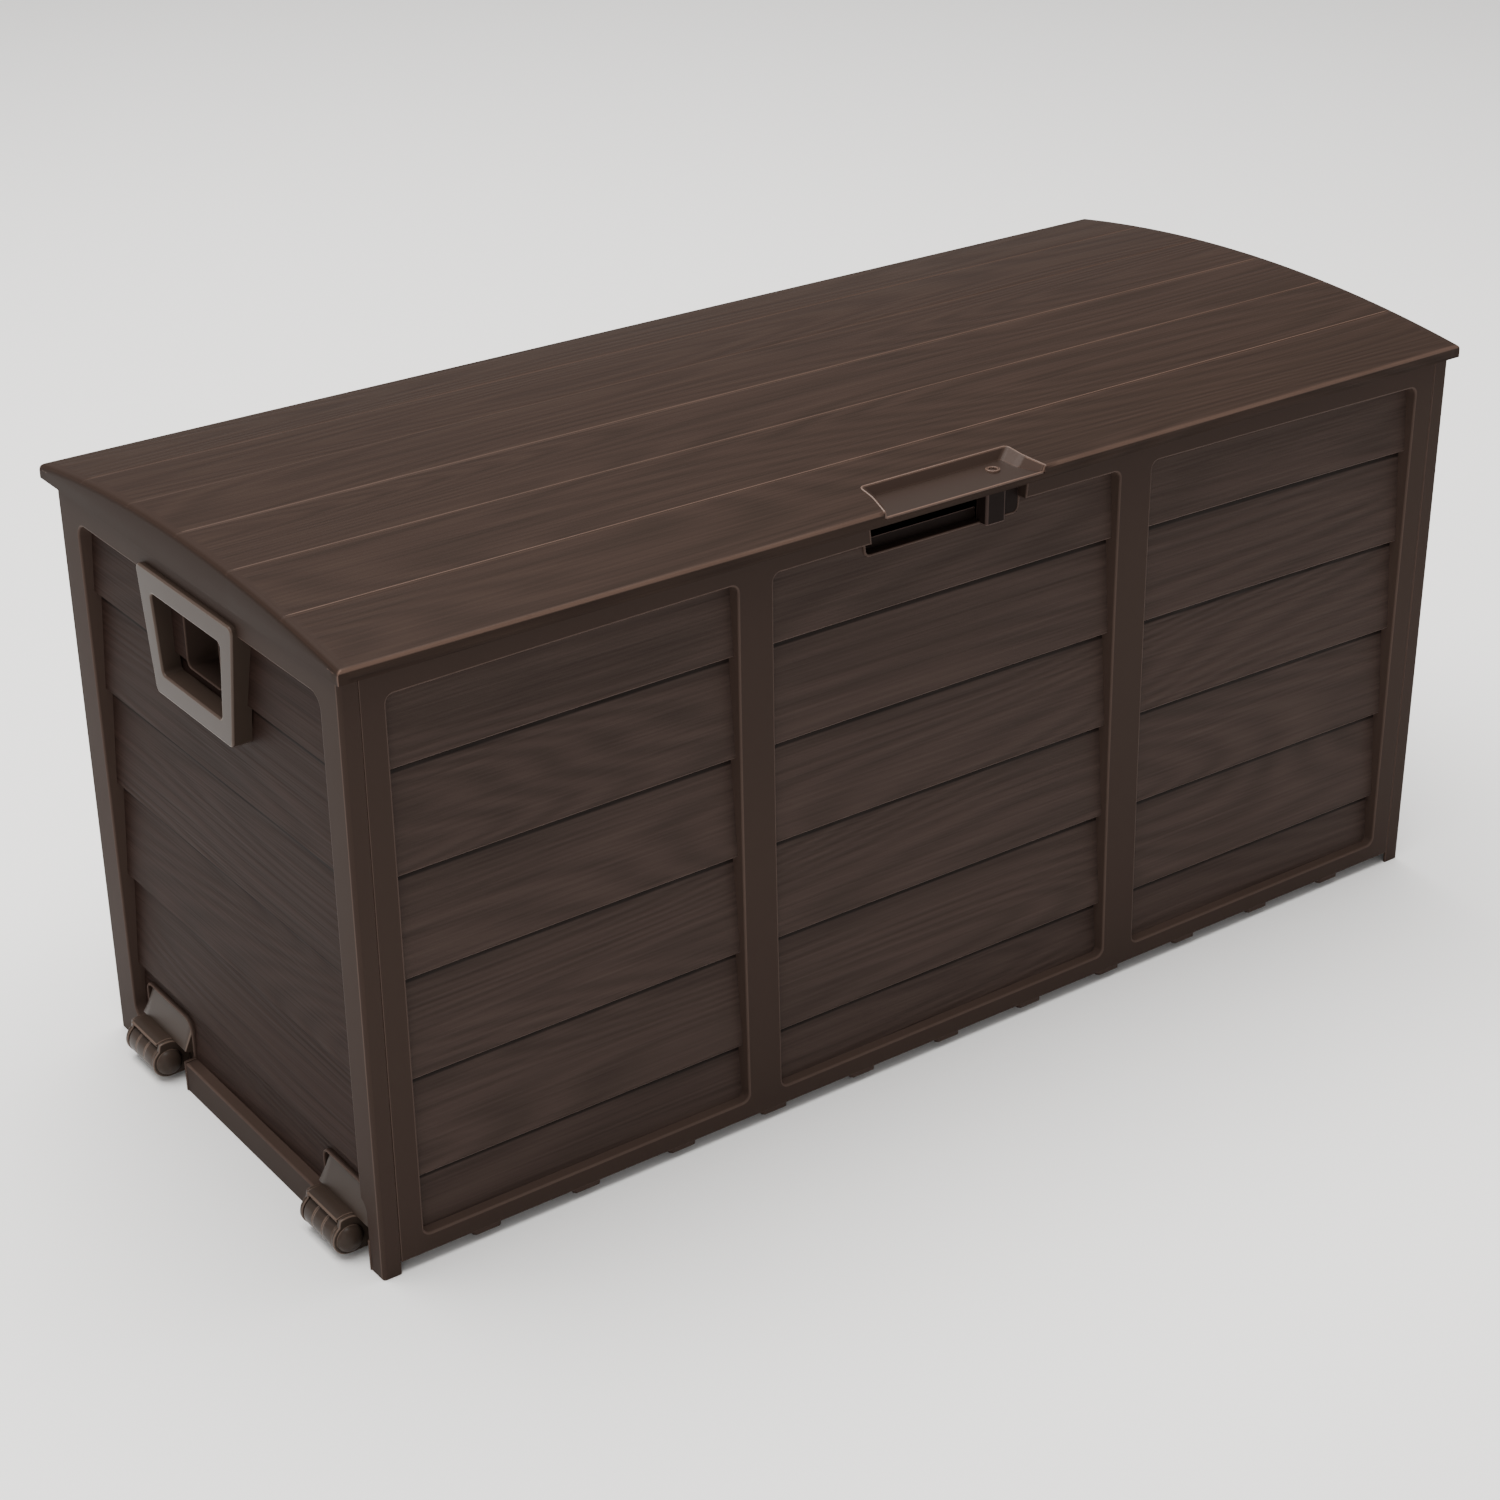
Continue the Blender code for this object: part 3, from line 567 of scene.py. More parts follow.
def publish(name: str, mesh: bpy.types.Mesh, finish: "MouldedPlastic", body: Body,
            stands_for: Sequence[str] = ()) -> bpy.types.Object:
    """Finish a piece: place it, shade it, dress it and hang it on its body.

    Args:
        name: The piece's name.
        mesh: Its mesh, measured from the middle of the lid.
        finish: Its finish.
        body: The body it rides on.
        stands_for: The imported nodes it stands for.

    Returns:
        The piece.
    """
    mesh.name = name
    mesh.transform(Matrix.Translation(BOX.centre))
    mesh.materials.clear()
    mesh.materials.append(PALETTE.material(finish))
    mesh.polygons.foreach_set("material_index", [0] * len(mesh.polygons))
    mark_edges(mesh)
    mesh.shade_smooth()
    mesh.set_sharp_from_angle(angle=SHARP_ANGLE)
    if len(mesh.polygons) < DENSE_MESH:
        mesh = flattened(mesh)
        mesh.name = name
    piece = bpy.data.objects.new(name, mesh)
    bpy.context.scene.collection.objects.link(piece)
    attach(piece, body.value)
    if stands_for:
        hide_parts(*stands_for)
    LOG.info("%s: %d faces on %s", name, len(mesh.polygons), body.value)
    return piece


def arc(centre: Flat, radius: float, start: float, end: float, steps: int) -> list[Flat]:
    """Points on a circle between two angles in degrees, both ends included."""
    angles = [math.radians(start + (end - start) * k / steps) for k in range(steps + 1)]
    return [(centre[0] + radius * math.cos(a), centre[1] + radius * math.sin(a)) for a in angles]


def rounded_outline(corners: Sequence[Flat], radii: Sequence[float] | float, steps: int = 6,
                    sides: int = 1) -> list[Flat]:
    """A closed outline with its corners rounded.

    Args:
        corners: The corners, anticlockwise.
        radii: One radius, or one for each corner.
        steps: Segments in each corner.
        sides: Segments along each straight side.

    Returns:
        The outline, the same number of points whatever the radii.
    """
    count = len(corners)
    if isinstance(radii, float):
        radii = [radii] * count
    runs: list[list[Flat]] = []
    for i, corner in enumerate(corners):
        here = Vector(corner)
        before = (Vector(corners[i - 1]) - here).normalized()
        after = (Vector(corners[(i + 1) % count]) - here).normalized()
        half = math.acos(max(-1.0, min(1.0, before.dot(after)))) / 2
        reach = radii[i] / math.tan(half)
        middle = here + (before + after).normalized() * (radii[i] / math.sin(half))
        first = here + before * reach - middle
        last = here + after * reach - middle
        turn = math.atan2(first.x * last.y - first.y * last.x, first.dot(last))
        run = []
        for k in range(steps + 1):
            a = turn * k / steps
            spun = Vector((first.x * math.cos(a) - first.y * math.sin(a),
                           first.x * math.sin(a) + first.y * math.cos(a)))
            run.append(tuple(middle + spun))
        runs.append(run)
    points: list[Flat] = []
    for i, run in enumerate(runs):
        points += run
        start, stop = Vector(run[-1]), Vector(runs[(i + 1) % count][0])
        points += [tuple(start.lerp(stop, k / sides)) for k in range(1, sides)]
    return points


def rectangle(low: Flat, high: Flat) -> list[Flat]:
    """The corners of an upright rectangle, anticlockwise."""
    return [(low[0], low[1]), (high[0], low[1]), (high[0], high[1]), (low[0], high[1])]


def grown(outline: Sequence[Flat], amount: float, closed: bool = True) -> list[Flat]:
    """An outline moved outwards along its own normals.

    Args:
        outline: Points, anticlockwise.
        amount: How far they move; negative moves them inwards.
        closed: Whether the last point joins the first.

    Returns:
        The moved points.
    """
    count = len(outline)
    moved = []
    for i in range(count):
        here = Vector(outline[i])
        before = Vector(outline[i - 1]) if closed or i else None
        after = Vector(outline[(i + 1) % count]) if closed or i < count - 1 else None
        ways = []
        if before is not None and (here - before).length > 1e-9:
            ways.append((here - before).normalized())
        if after is not None and (after - here).length > 1e-9:
            ways.append((after - here).normalized())
        normals = [Vector((w.y, -w.x)) for w in ways]
        blend = sum(normals, Vector((0.0, 0.0)))
        blend = blend.normalized()
        stretch = max(0.5, blend.dot(normals[0]))
        moved.append(tuple(here + blend * (amount / stretch)))
    return moved


Placer = Callable[[float, float, float], Point]


def plan(u: float, v: float, depth: float) -> Point:
    """Place an outline drawn in plan, its depth upwards."""
    return (u, v, depth)


def section_along_x(u: float, v: float, depth: float) -> Point:
    """Place an outline drawn across the box, its depth along X."""
    return (depth, u, v)


def bridge(work: bmesh.types.BMesh, first: Sequence[bmesh.types.BMVert], second: Sequence[bmesh.types.BMVert],
           closed: bool = True) -> None:
    """Join two rings of points with a band of faces.

    Args:
        work: The bmesh that holds both rings.
        first: One ring.
        second: The next ring, of equal length.
        closed: Whether the last point joins the first.
    """
    count = len(first)
    for i in range(count if closed else count - 1):
        j = (i + 1) % count
        work.faces.new((first[i], first[j], second[j], second[i]))


def loft(rings: Sequence[Sequence[Point]], name: str, cap: bool = True,
         closed_loft: bool = False) -> bpy.types.Mesh:
    """A skin through rings of equal length.

    Args:
        rings: The rings in order.
        name: The mesh's name.
        cap: Whether the first and last ring are filled.
        closed_loft: Whether the last ring joins the first.

    Returns:
        The mesh.
    """
    work = bmesh.new()
    made = [[work.verts.new(p) for p in ring] for ring in rings]
    pairs = list(zip(made, made[1:]))
    if closed_loft:
        pairs.append((made[-1], made[0]))
    for first, second in pairs:
        bridge(work, first, second)
    if cap and not closed_loft:
        work.faces.new(made[0])
        work.faces.new(made[-1])
    return to_mesh(work, name)


def slab(outline: Sequence[Flat], low: float, high: float, place: Placer, name: str,
         edge: float = 0.0, steps: int = 3) -> bpy.types.Mesh:
    """A solid with a flat outline and softened rims.

    Args:
        outline: The outline, anticlockwise.
        low: Where it starts along its depth.
        high: Where it ends.
        place: Maps outline and depth to a point.
        name: The mesh's name.
        edge: The rim's radius.
        steps: Segments in the rim.

    Returns:
        The mesh.
    """
    rings = []
    if edge <= 0.0:
        levels = [(0.0, low), (0.0, high)]
    else:
        turns = [math.pi / 2 * k / steps for k in range(steps + 1)]
        levels = [(edge * (1 - math.sin(t)), low + edge * (1 - math.cos(t))) for t in turns]
        levels += [(edge * (1 - math.cos(t)), high - edge * (1 - math.sin(t))) for t in turns]
    for inset, depth in levels:
        rings.append([place(u, v, depth) for u, v in grown(outline, -inset)])
    return loft(rings, name)


def channel(path: Sequence[Flat], profile: Sequence[Flat], place: Placer, name: str,
            closed: bool = False) -> bpy.types.Mesh:
    """A lip that follows a path: each profile point is (outwards, depth).

    Args:
        path: The path, anticlockwise around the opening.
        profile: The lip's closed section.
        place: Maps path and depth to a point.
        name: The mesh's name.
        closed: Whether the path is a loop.

    Returns:
        The mesh.
    """
    lines = [[place(u, v, depth) for u, v in grown(path, out, closed)] for out, depth in profile]
    rings = [list(section) for section in zip(*lines)]
    return loft(rings, name, closed_loft=closed)


def stepped_lip(path: Sequence[Flat], near: Callable[[float], float], deep: float, place: Placer,
                name: str) -> bpy.types.Mesh:
    """A thin rounded lip along an open path, its front edge at a depth that changes with height.

    Args:
        path: The path, anticlockwise around the opening.
        near: The front edge's depth at a height.
        deep: The back edge's depth.
        place: Maps path and depth to a point.
        name: The mesh's name.

    Returns:
        The mesh.
    """
    front = [(0.0016, 0.0014), (0.0012, 0.0001), (0.0004, -0.0006), (-0.0004, -0.0004), (-0.0009, 0.0004)]
    back = [(-0.0010, -0.0008), (-0.0004, 0.0), (0.0012, 0.0), (0.0018, -0.0008)]
    lines = [[place(u, v, near(v) + step) for u, v in grown(path, out, False)] for out, step in front]
    lines += [[place(u, v, deep + step) for u, v in grown(path, out, False)] for out, step in back]
    return loft([list(section) for section in zip(*lines)], name)


def turned(profile: Sequence[Flat], centre: Flat, segments: int, name: str,
           closed: bool = False) -> bpy.types.Mesh:
    """A solid turned about an axis along Y.

    Args:
        profile: (radius, y) from one end to the other.
        centre: The axis's X and Z.
        segments: Segments around.
        name: The mesh's name.
        closed: Whether the profile is a loop, as on a bored piece.

    Returns:
        The mesh.
    """
    rings = []
    for radius, y in profile:
        ring = arc(centre, radius, 0.0, 360.0 * (segments - 1) / segments, segments - 1)
        rings.append([(x, y, z) for x, z in ring])
    return loft(rings, name, cap=not closed, closed_loft=closed)


# ---- shapes that follow a rule -----------------------------------------------------


class ShapeTree(NodeSheet):
    """A Geometry Nodes tree with named sizes, built in code."""

    def __init__(self, name: str) -> None:
        """Start a tree with a geometry output and a material input.

        Args:
            name: The tree's name.
        """
        super().__init__(bpy.data.node_groups.new(name, "GeometryNodeTree"))
        self.tree.interface.new_socket("Geometry", in_out="OUTPUT", socket_type="NodeSocketGeometry")
        self.given = self.tree.nodes.new("NodeGroupInput")
        self.result = self.tree.nodes.new("NodeGroupOutput")
        self.size("Material", None, "NodeSocketMaterial")

    def size(self, label: str, default: object, kind: str = "NodeSocketFloat") -> bpy.types.NodeSocket:
        """Add a named input.

        Args:
            label: The input's name.
            default: Its first value, or None.
            kind: The socket type.

        Returns:
            The input as an output of the group's own input node.
        """
        socket = self.tree.interface.new_socket(label, in_out="INPUT", socket_type=kind)
        if default is not None:
            socket.default_value = default
        return self.given.outputs[label]

    def sizes(self, **defaults: float | int) -> dict[str, bpy.types.NodeSocket]:
        """Add several named number inputs at once."""
        made = {}
        for key, value in defaults.items():
            kind = "NodeSocketInt" if isinstance(value, int) else "NodeSocketFloat"
            made[key] = self.size(key.replace("_", " ").title(), value, kind)
        return made

    def finish(self, geometry: bpy.types.NodeSocket) -> None:
        """End the tree: realize its instances and set its material."""
        real = self.add("GeometryNodeRealizeInstances", {0: geometry})
        dressed = self.add("GeometryNodeSetMaterial", {"Geometry": real.outputs[0]})
        self.feed(dressed.inputs["Material"], self.given.outputs["Material"])
        self.feed(self.result.inputs[0], dressed.outputs[0])

    def grow(self, name: str, **values: object) -> bpy.types.Mesh:
        """Run the tree once and keep its result as a plain mesh.

        Args:
            name: The mesh's name.
            **values: Values for the tree's named inputs.

        Returns:
            The mesh.
        """
        thing = bench(bpy.data.meshes.new(name))
        modifier = thing.modifiers.new("shape", "NODES")
        modifier.node_group = self.tree
        wanted = {key.replace("_", " ").title(): value for key, value in values.items()}
        for item in self.tree.interface.items_tree:
            if item.in_out == "INPUT" and item.name in wanted:
                modifier[item.identifier] = wanted[item.name]
        thing.update_tag()
        return evaluated(thing, name)

    def flex(self, place: bpy.types.NodeSocket, bow: object, half: object, foot: object,
             rise: object) -> bpy.types.NodeSocket:
        """How far a long panel bows inwards at a place.

        Args:
            place: The position.
            bow: The bow at the middle of the free edge.
            half: The panel's half length.
            foot: The height where it is held.
            rise: The height over which the bow grows.

        Returns:
            The bow at the place.
        """
        x, _, z = self.axes(place)
        side = self.math("DIVIDE", x, half)
        across = self.math("SUBTRACT", 1.0, self.math("MULTIPLY", side, side))
        part = self.math("DIVIDE", self.math("SUBTRACT", z, foot), rise)
        up = self.math("SINE", self.math("MULTIPLY", part, math.pi / 2))
        return self.math("MULTIPLY", bow, self.math("MULTIPLY", across, up))


def lap_board_tree() -> ShapeTree:
    """Boards that lap one over the next, each a wedge with a rounded nose.

    X runs along the boards, Y is the depth behind the frame's face and Z the height.

    Returns:
        The tree.
    """
    tree = ShapeTree("lap_boards")
    s = tree.sizes(length=0.3, centre=0.0, lowest=0.0, pitch=0.0863, boards=6, nose_depth=0.006,
                   top_depth=0.0125, back_depth=0.0155, overlap=0.001, nose_radius=0.0012,
                   segments=16, bow=0.0, bow_half=0.55, bow_foot=0.01, bow_rise=0.5)
    top = tree.math("ADD", s["pitch"], s["overlap"])
    slope = tree.math("DIVIDE", tree.math("SUBTRACT", s["top_depth"], s["nose_depth"]), s["pitch"])
    top_front = tree.math("MULTIPLY_ADD", slope, top, s["nose_depth"])
    top_back = tree.math("SUBTRACT", s["back_depth"], 0.0006)
    section = tree.add("GeometryNodeCurvePrimitiveQuadrilateral", mode="POINTS")
    corners = ((s["nose_depth"], 0.0), (top_front, top), (top_back, top), (s["back_depth"], 0.0))
    for k, (depth, height) in enumerate(corners):
        tree.feed(section.inputs[f"Point {k + 1}"], tree.vector(depth, height, 0.0))
    nose = tree.add("GeometryNodeFilletCurve", {"Curve": section.outputs[0]})
    tree.feed(nose.inputs["Radius"], s["nose_radius"])
    nose.inputs["Limit Radius"].default_value = True
    nose.mode = "POLY"
    half = tree.math("MULTIPLY", s["length"], 0.5)
    line = tree.add("GeometryNodeCurvePrimitiveLine")
    tree.feed(line.inputs["Start"], tree.vector(0.0, 0.0, tree.math("MULTIPLY", half, -1.0)))
    tree.feed(line.inputs["End"], tree.vector(0.0, 0.0, half))
    split = tree.add("GeometryNodeResampleCurve", {"Curve": line.outputs[0]})
    tree.feed(split.inputs["Count"], s["segments"])
    board = tree.add("GeometryNodeCurveToMesh", {"Curve": split.outputs[0], "Profile Curve": nose.outputs[0],
                                                 "Fill Caps": True})
    rows = tree.add("GeometryNodeMeshLine", {"Count": s["boards"]})
    tree.feed(rows.inputs["Start Location"], tree.vector(0.0, s["lowest"], 0.0))
    tree.feed(rows.inputs["Offset"], tree.vector(0.0, s["pitch"], 0.0))
    laid = tree.add("GeometryNodeInstanceOnPoints", {"Points": rows.outputs[0], "Instance": board.outputs[0]})
    real = tree.add("GeometryNodeRealizeInstances", {0: laid.outputs[0]})
    u, v, w = tree.axes(tree.add("GeometryNodeInputPosition").outputs[0])
    stand = tree.vector(tree.math("ADD", w, s["centre"]), u, v)
    stood = tree.add("GeometryNodeSetPosition", {"Geometry": real.outputs[0], "Position": stand})
    bow = tree.flex(tree.add("GeometryNodeInputPosition").outputs[0], s["bow"], s["bow_half"],
                    s["bow_foot"], s["bow_rise"])
    bent = tree.add("GeometryNodeSetPosition", {"Geometry": stood.outputs[0], "Offset": tree.vector(0.0, bow, 0.0)})
    tree.finish(bent.outputs[0])
    return tree


def deck_tree() -> ShapeTree:
    """The arched lid's outer skin, its planks parted by grooves, and its skirt.

    Returns:
        The tree.
    """
    tree = ShapeTree("lid_deck")
    s = tree.sizes(half_length=0.56, half_depth=0.2444, rim_top=0.5168, rim_bottom=0.5053, rise=0.0197,
                   planks=6, pitch=0.082, groove_depth=0.0008, groove_half=0.0017, end_round=0.0048,
                   side_round=0.0022, end_strip=0.010, seam_light=0.18, columns=73, rows=193)
    grid = tree.add("GeometryNodeMeshGrid", {"Size X": 2.0, "Size Y": 2.0})
    tree.feed(grid.inputs["Vertices X"], s["columns"])
    tree.feed(grid.inputs["Vertices Y"], s["rows"])
    u, v, _ = tree.axes(tree.add("GeometryNodeInputPosition").outputs[0])
    # columns gather towards the ends
    wave = tree.math("MULTIPLY", tree.math("SINE", tree.math("MULTIPLY", u, math.pi)), 0.96 / math.pi)
    x = tree.math("MULTIPLY", tree.math("ADD", u, wave), s["half_length"])
    # rows gather at the grooves: a whole number of planks spans the depth
    count = tree.math("MULTIPLY", tree.math("ADD", v, 1.0), tree.math("MULTIPLY", s["planks"], 0.5))
    ripple = tree.math("MULTIPLY", tree.math("SINE", tree.math("MULTIPLY", count, math.tau)), 0.93 / math.tau)
    stepped = tree.math("SUBTRACT", count, ripple)
    middle = tree.math("MULTIPLY", s["planks"], 0.5)
    plank = tree.math("DIVIDE", tree.math("SUBTRACT", stepped, middle), middle)
    y = tree.math("MULTIPLY", plank, s["half_depth"])
    away = tree.math("PINGPONG", tree.math("ADD", y, tree.math("MULTIPLY", middle, s["pitch"])),
                     tree.math("MULTIPLY", s["pitch"], 0.5))
    inside = tree.math("LESS_THAN", tree.math("ABSOLUTE", plank), 0.95)
    cut = tree.math("SUBTRACT", 1.0, tree.math("DIVIDE", away, s["groove_half"]))
    cut = tree.math("SMOOTH_MAX", cut, 0.0, 0.25)
    to_end = tree.math("DIVIDE", tree.math("SUBTRACT", s["half_length"], tree.math("ABSOLUTE", x)), s["end_strip"])
    plain_end = tree.math("MINIMUM", to_end, 1.0)
    cut = tree.math("MULTIPLY", tree.math("MULTIPLY", cut, inside), plain_end)
    groove = tree.math("MULTIPLY", cut, s["groove_depth"])
    share = tree.math("DIVIDE", y, s["half_depth"])
    arch = tree.math("SUBTRACT", 1.0, tree.math("MULTIPLY", share, share))
    height = tree.math("MULTIPLY_ADD", arch, s["rise"], s["rim_top"])

    def drop(place: bpy.types.NodeSocket, limit: bpy.types.NodeSocket, radius: bpy.types.NodeSocket) \
            -> bpy.types.NodeSocket:
        """How far the skin falls away near an edge."""
        left = tree.math("SUBTRACT", limit, tree.math("ABSOLUTE", place))
        near = tree.math("MAXIMUM", tree.math("SUBTRACT", radius, left), 0.0)
        flat = tree.math("SUBTRACT", tree.math("MULTIPLY", radius, radius), tree.math("MULTIPLY", near, near))
        return tree.math("SUBTRACT", radius, tree.math("SQRT", tree.math("MAXIMUM", flat, 0.0)))

    fall = tree.math("MAXIMUM", drop(x, s["half_length"], s["end_round"]), drop(y, s["half_depth"], s["side_round"]))
    z = tree.math("SUBTRACT", tree.math("SUBTRACT", height, groove), fall)
    # Painted highlight: a thin line along each groove and a band along the front and back edges, where light would
    # catch them.
    marked = tree.add("GeometryNodeStoreNamedAttribute", {"Geometry": grid.outputs[0], "Name": "seam"},
                      data_type="FLOAT", domain="POINT")
    to_side = tree.math("DIVIDE", tree.math("SUBTRACT", s["half_depth"], tree.math("ABSOLUTE", y)), s["side_round"])
    side = tree.math("MULTIPLY", tree.math("MAXIMUM", tree.math("SUBTRACT", 1.0, to_side), 0.0), 0.8)
    light = tree.math("MAXIMUM", tree.math("MULTIPLY", cut, s["seam_light"]), side)
    tree.feed(marked.inputs["Value"], light)
    skin = tree.add("GeometryNodeSetPosition", {"Geometry": marked.outputs[0]})
    tree.feed(skin.inputs["Position"], tree.vector(x, y, z))
    rim_edges = tree.add("FunctionNodeCompare", data_type="INT", operation="EQUAL")
    faces = tree.add("GeometryNodeInputMeshEdgeNeighbors").outputs[0]
    tree.feed(rim_edges.inputs[2], faces)
    rim_edges.inputs[3].default_value = 1
    skirt = tree.add("GeometryNodeExtrudeMesh", {"Mesh": skin.outputs[0], "Selection": rim_edges.outputs[0]},
                     mode="EDGES")
    tree.feed(skirt.inputs["Offset"], tree.vector(0.0, 0.0, -0.01))
    skirt.inputs["Offset Scale"].default_value = 1.0
    px, py, _ = tree.axes(tree.add("GeometryNodeInputPosition").outputs[0])
    level = tree.add("GeometryNodeSetPosition", {"Geometry": skirt.outputs[0], "Selection": skirt.outputs[1]})
    tree.feed(level.inputs["Position"], tree.vector(px, py, s["rim_bottom"]))
    tree.finish(level.outputs[0])
    return tree


def row_tree() -> ShapeTree:
    """Equal blocks with softened edges, set out in an even row along X.

    Returns:
        The tree.
    """
    tree = ShapeTree("block_row")
    s = tree.sizes(blocks=11, pitch=0.0925, block_length=0.026, block_depth=0.02, block_height=0.005,
                   centre_x=0.0, centre_y=0.0, centre_z=0.0, corner=0.0015)
    section = tree.add("GeometryNodeCurvePrimitiveQuadrilateral", mode="RECTANGLE")
    tree.feed(section.inputs["Width"], s["block_length"])
    tree.feed(section.inputs["Height"], s["block_depth"])
    rounded = tree.add("GeometryNodeFilletCurve", {"Curve": section.outputs[0]})
    tree.feed(rounded.inputs["Radius"], s["corner"])
    rounded.mode = "POLY"
    face = tree.add("GeometryNodeFillCurve", {0: rounded.outputs[0]}, mode="NGONS")
    solid = tree.add("GeometryNodeExtrudeMesh", {"Mesh": face.outputs[0]}, mode="FACES")
    tree.feed(solid.inputs["Offset"], tree.vector(0.0, 0.0, 1.0))
    tree.feed(solid.inputs["Offset Scale"], s["block_height"])
    under = tree.add("GeometryNodeFlipFaces", {0: face.outputs[0]})
    both = tree.add("GeometryNodeJoinGeometry")
    tree.tree.links.new(solid.outputs[0], both.inputs[0])
    tree.tree.links.new(under.outputs[0], both.inputs[0])
    whole = tree.add("GeometryNodeMergeByDistance", {"Geometry": both.outputs[0], "Distance": 0.00001})
    row = tree.add("GeometryNodeMeshLine", {"Count": s["blocks"]})
    first = tree.math("MULTIPLY", tree.math("SUBTRACT", s["blocks"], 1.0), tree.math("MULTIPLY", s["pitch"], -0.5))
    low = tree.math("SUBTRACT", s["centre_z"], tree.math("MULTIPLY", s["block_height"], 0.5))
    tree.feed(row.inputs["Start Location"], tree.vector(tree.math("ADD", first, s["centre_x"]), s["centre_y"], low))
    tree.feed(row.inputs["Offset"], tree.vector(s["pitch"], 0.0, 0.0))
    laid = tree.add("GeometryNodeInstanceOnPoints", {"Points": row.outputs[0], "Instance": whole.outputs[0]})
    tree.finish(laid.outputs[0])
    return tree


# ---- the box's overall measures ------------------------------------------------------


@dataclass
class BoxMeasures:
    """The places shared by several pieces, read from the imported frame."""

    centre: Vector = field(init=False)
    end_x: float = field(init=False)
    front_y: float = field(init=False)
    back_y: float = field(init=False)
    top_z: float = field(init=False)
    panel_foot: float = field(init=False)
    wall: float = 0.003
    return_tip: float = 0.5404
    field_bottom: float = 0.0270
    field_top: float = 0.4830
    first_lap: float = 0.4215
    lap_pitch: float = 0.0863
    lap_count: int = 5
    bow: float = 0.0105
    bow_half: float = 0.5480
    lock_x: float = 0.0440
    lock_y: float = -0.2190
    lock_hole: float = 0.0035
    hinges: tuple[float, ...] = (-0.42, -0.14, 0.14, 0.42)
    hinge_y: float = 0.2350
    hinge_z: float = 0.5085
    knuckle: float = 0.0052
    hinge_bore: float = 0.0028

    def __post_init__(self) -> None:
        """Read the frame's own boxes."""
        low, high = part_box("lid")
        self.centre = Vector(((low.x + high.x) / 2, 0.0, 0.0))
        low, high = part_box("right_end_panel")
        self.end_x = high.x - self.centre.x
        self.front_y = low.y
        self.back_y = high.y
        self.top_z = high.z
        self.panel_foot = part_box("front_panel")[0].z

    @property
    def bow_rise(self) -> float:
        """The height over which a long panel bows."""
        return self.top_z - self.panel_foot

    def flex(self, x: float, z: float, bow: float) -> float:
        """How far a long panel bows inwards at a place."""
        part = (z - self.panel_foot) / self.bow_rise
        return bow * (1 - (x / self.bow_half) ** 2) * math.sin(math.pi / 2 * part)


class Palette:
    """Builds each finish once."""

    def __init__(self) -> None:
        """Start with no materials made."""
        self.made: dict[str, bpy.types.Material] = {}

    def material(self, finish: MouldedPlastic) -> bpy.types.Material:
        """The material of a finish, built at its first use."""
        if finish.name not in self.made:
            self.made[finish.name] = finish.build()
        return self.made[finish.name]


BOX = BoxMeasures()

BODY_BROWN: Colour = (0.0335, 0.0222, 0.0180)
# The boards are the same plastic as the frame: painted lighter on the front and back boards and painted darker on the
# end boards, for how light falls on those faces.
BOARD_LIT_BROWN: Colour = (0.0390, 0.0262, 0.0220)
END_BOARD_SHADED_BROWN: Colour = (0.0225, 0.0130, 0.0105)
LID_BROWN: Colour = (0.0232, 0.0142, 0.0108)
# The board finishes paint a shadow strip under each board's nose and a highlight along it.
BOARD_FINISH = MouldedPlastic("board_grain_x", "body_brown", BOARD_LIT_BROWN, 0.55, Grain.ALONG_X, 0.6,
                              specular=0.06, lap_start=BOX.first_lap, lap_pitch=BOX.lap_pitch)
END_BOARD_FINISH = MouldedPlastic("board_grain_y", "body_brown", END_BOARD_SHADED_BROWN, 0.55, Grain.ALONG_Y, 0.6,
                                  specular=0.04, lap_start=BOX.first_lap, lap_pitch=BOX.lap_pitch)
FRAME_FINISH = MouldedPlastic("frame_smooth", "body_brown", BODY_BROWN, 0.50, emboss=0.25, specular=0.03,
                              edge_light=0.45)
LID_FINISH = MouldedPlastic("lid_grain", "lid_brown", LID_BROWN, 0.50, Grain.ALONG_X, 0.6, plain_ends=0.5535,
                            edge_light=0.9, edge_gain=5.0, specular=0.04)
TRAY_FINISH = MouldedPlastic("tray_smooth", "lid_brown", LID_BROWN, 0.42, emboss=0.2, edge_light=1.0, edge_gain=4.5)
HANDLE_FINISH = MouldedPlastic("handle_smooth", "handle_brown", (0.0370, 0.0255, 0.0200), 0.38, emboss=0.2)
ROLLER_FINISH = MouldedPlastic("roller_scuffed", "roller_brown", (0.036, 0.0250, 0.0195), 0.34, emboss=0.35,
                               mottle=0.35, edge_light=0.8)
# Painted shade: a darker copy of the body plastic for the lock post, web and rib under the lid's tray; its high edge
# gain paints a highlight along the rib.
SHADED_RECESS_FINISH = MouldedPlastic("recess_painted_shade", "body_brown", (0.0115, 0.0074, 0.0064), 0.60, emboss=0.2,
                               specular=0.04, edge_light=1.0, edge_gain=7.0)
PIN_FINISH = MouldedPlastic("pin_black", "pin_black", (0.012, 0.011, 0.011), 0.38, emboss=0.2)

PALETTE = Palette()
LAP_BOARDS = lap_board_tree()
LID_DECK = deck_tree()
BLOCK_ROW = row_tree()


# ---- wall panels -----------------------------------------------------------------------


def hinge_leaf(outline: Sequence[Flat], start: float, stop: float, name: str) -> bpy.types.Mesh:
    """A leaf of the lid's hinge, bored for the pin.

    Args:
        outline: Its outline across the box.
        start: Where it starts along X.
        stop: Where it ends.
        name: The mesh's name.

    Returns:
        The bored leaf.
    """
    past = 0.001
    leaf = slab(outline, start, stop, section_along_x, name, 0.0004, 2)
    tool = slab(arc((BOX.hinge_y, BOX.hinge_z), BOX.hinge_bore, 0, 345, 23), start - past, stop + past,
                section_along_x, name + "_bore")
    return carve(leaf, tool)


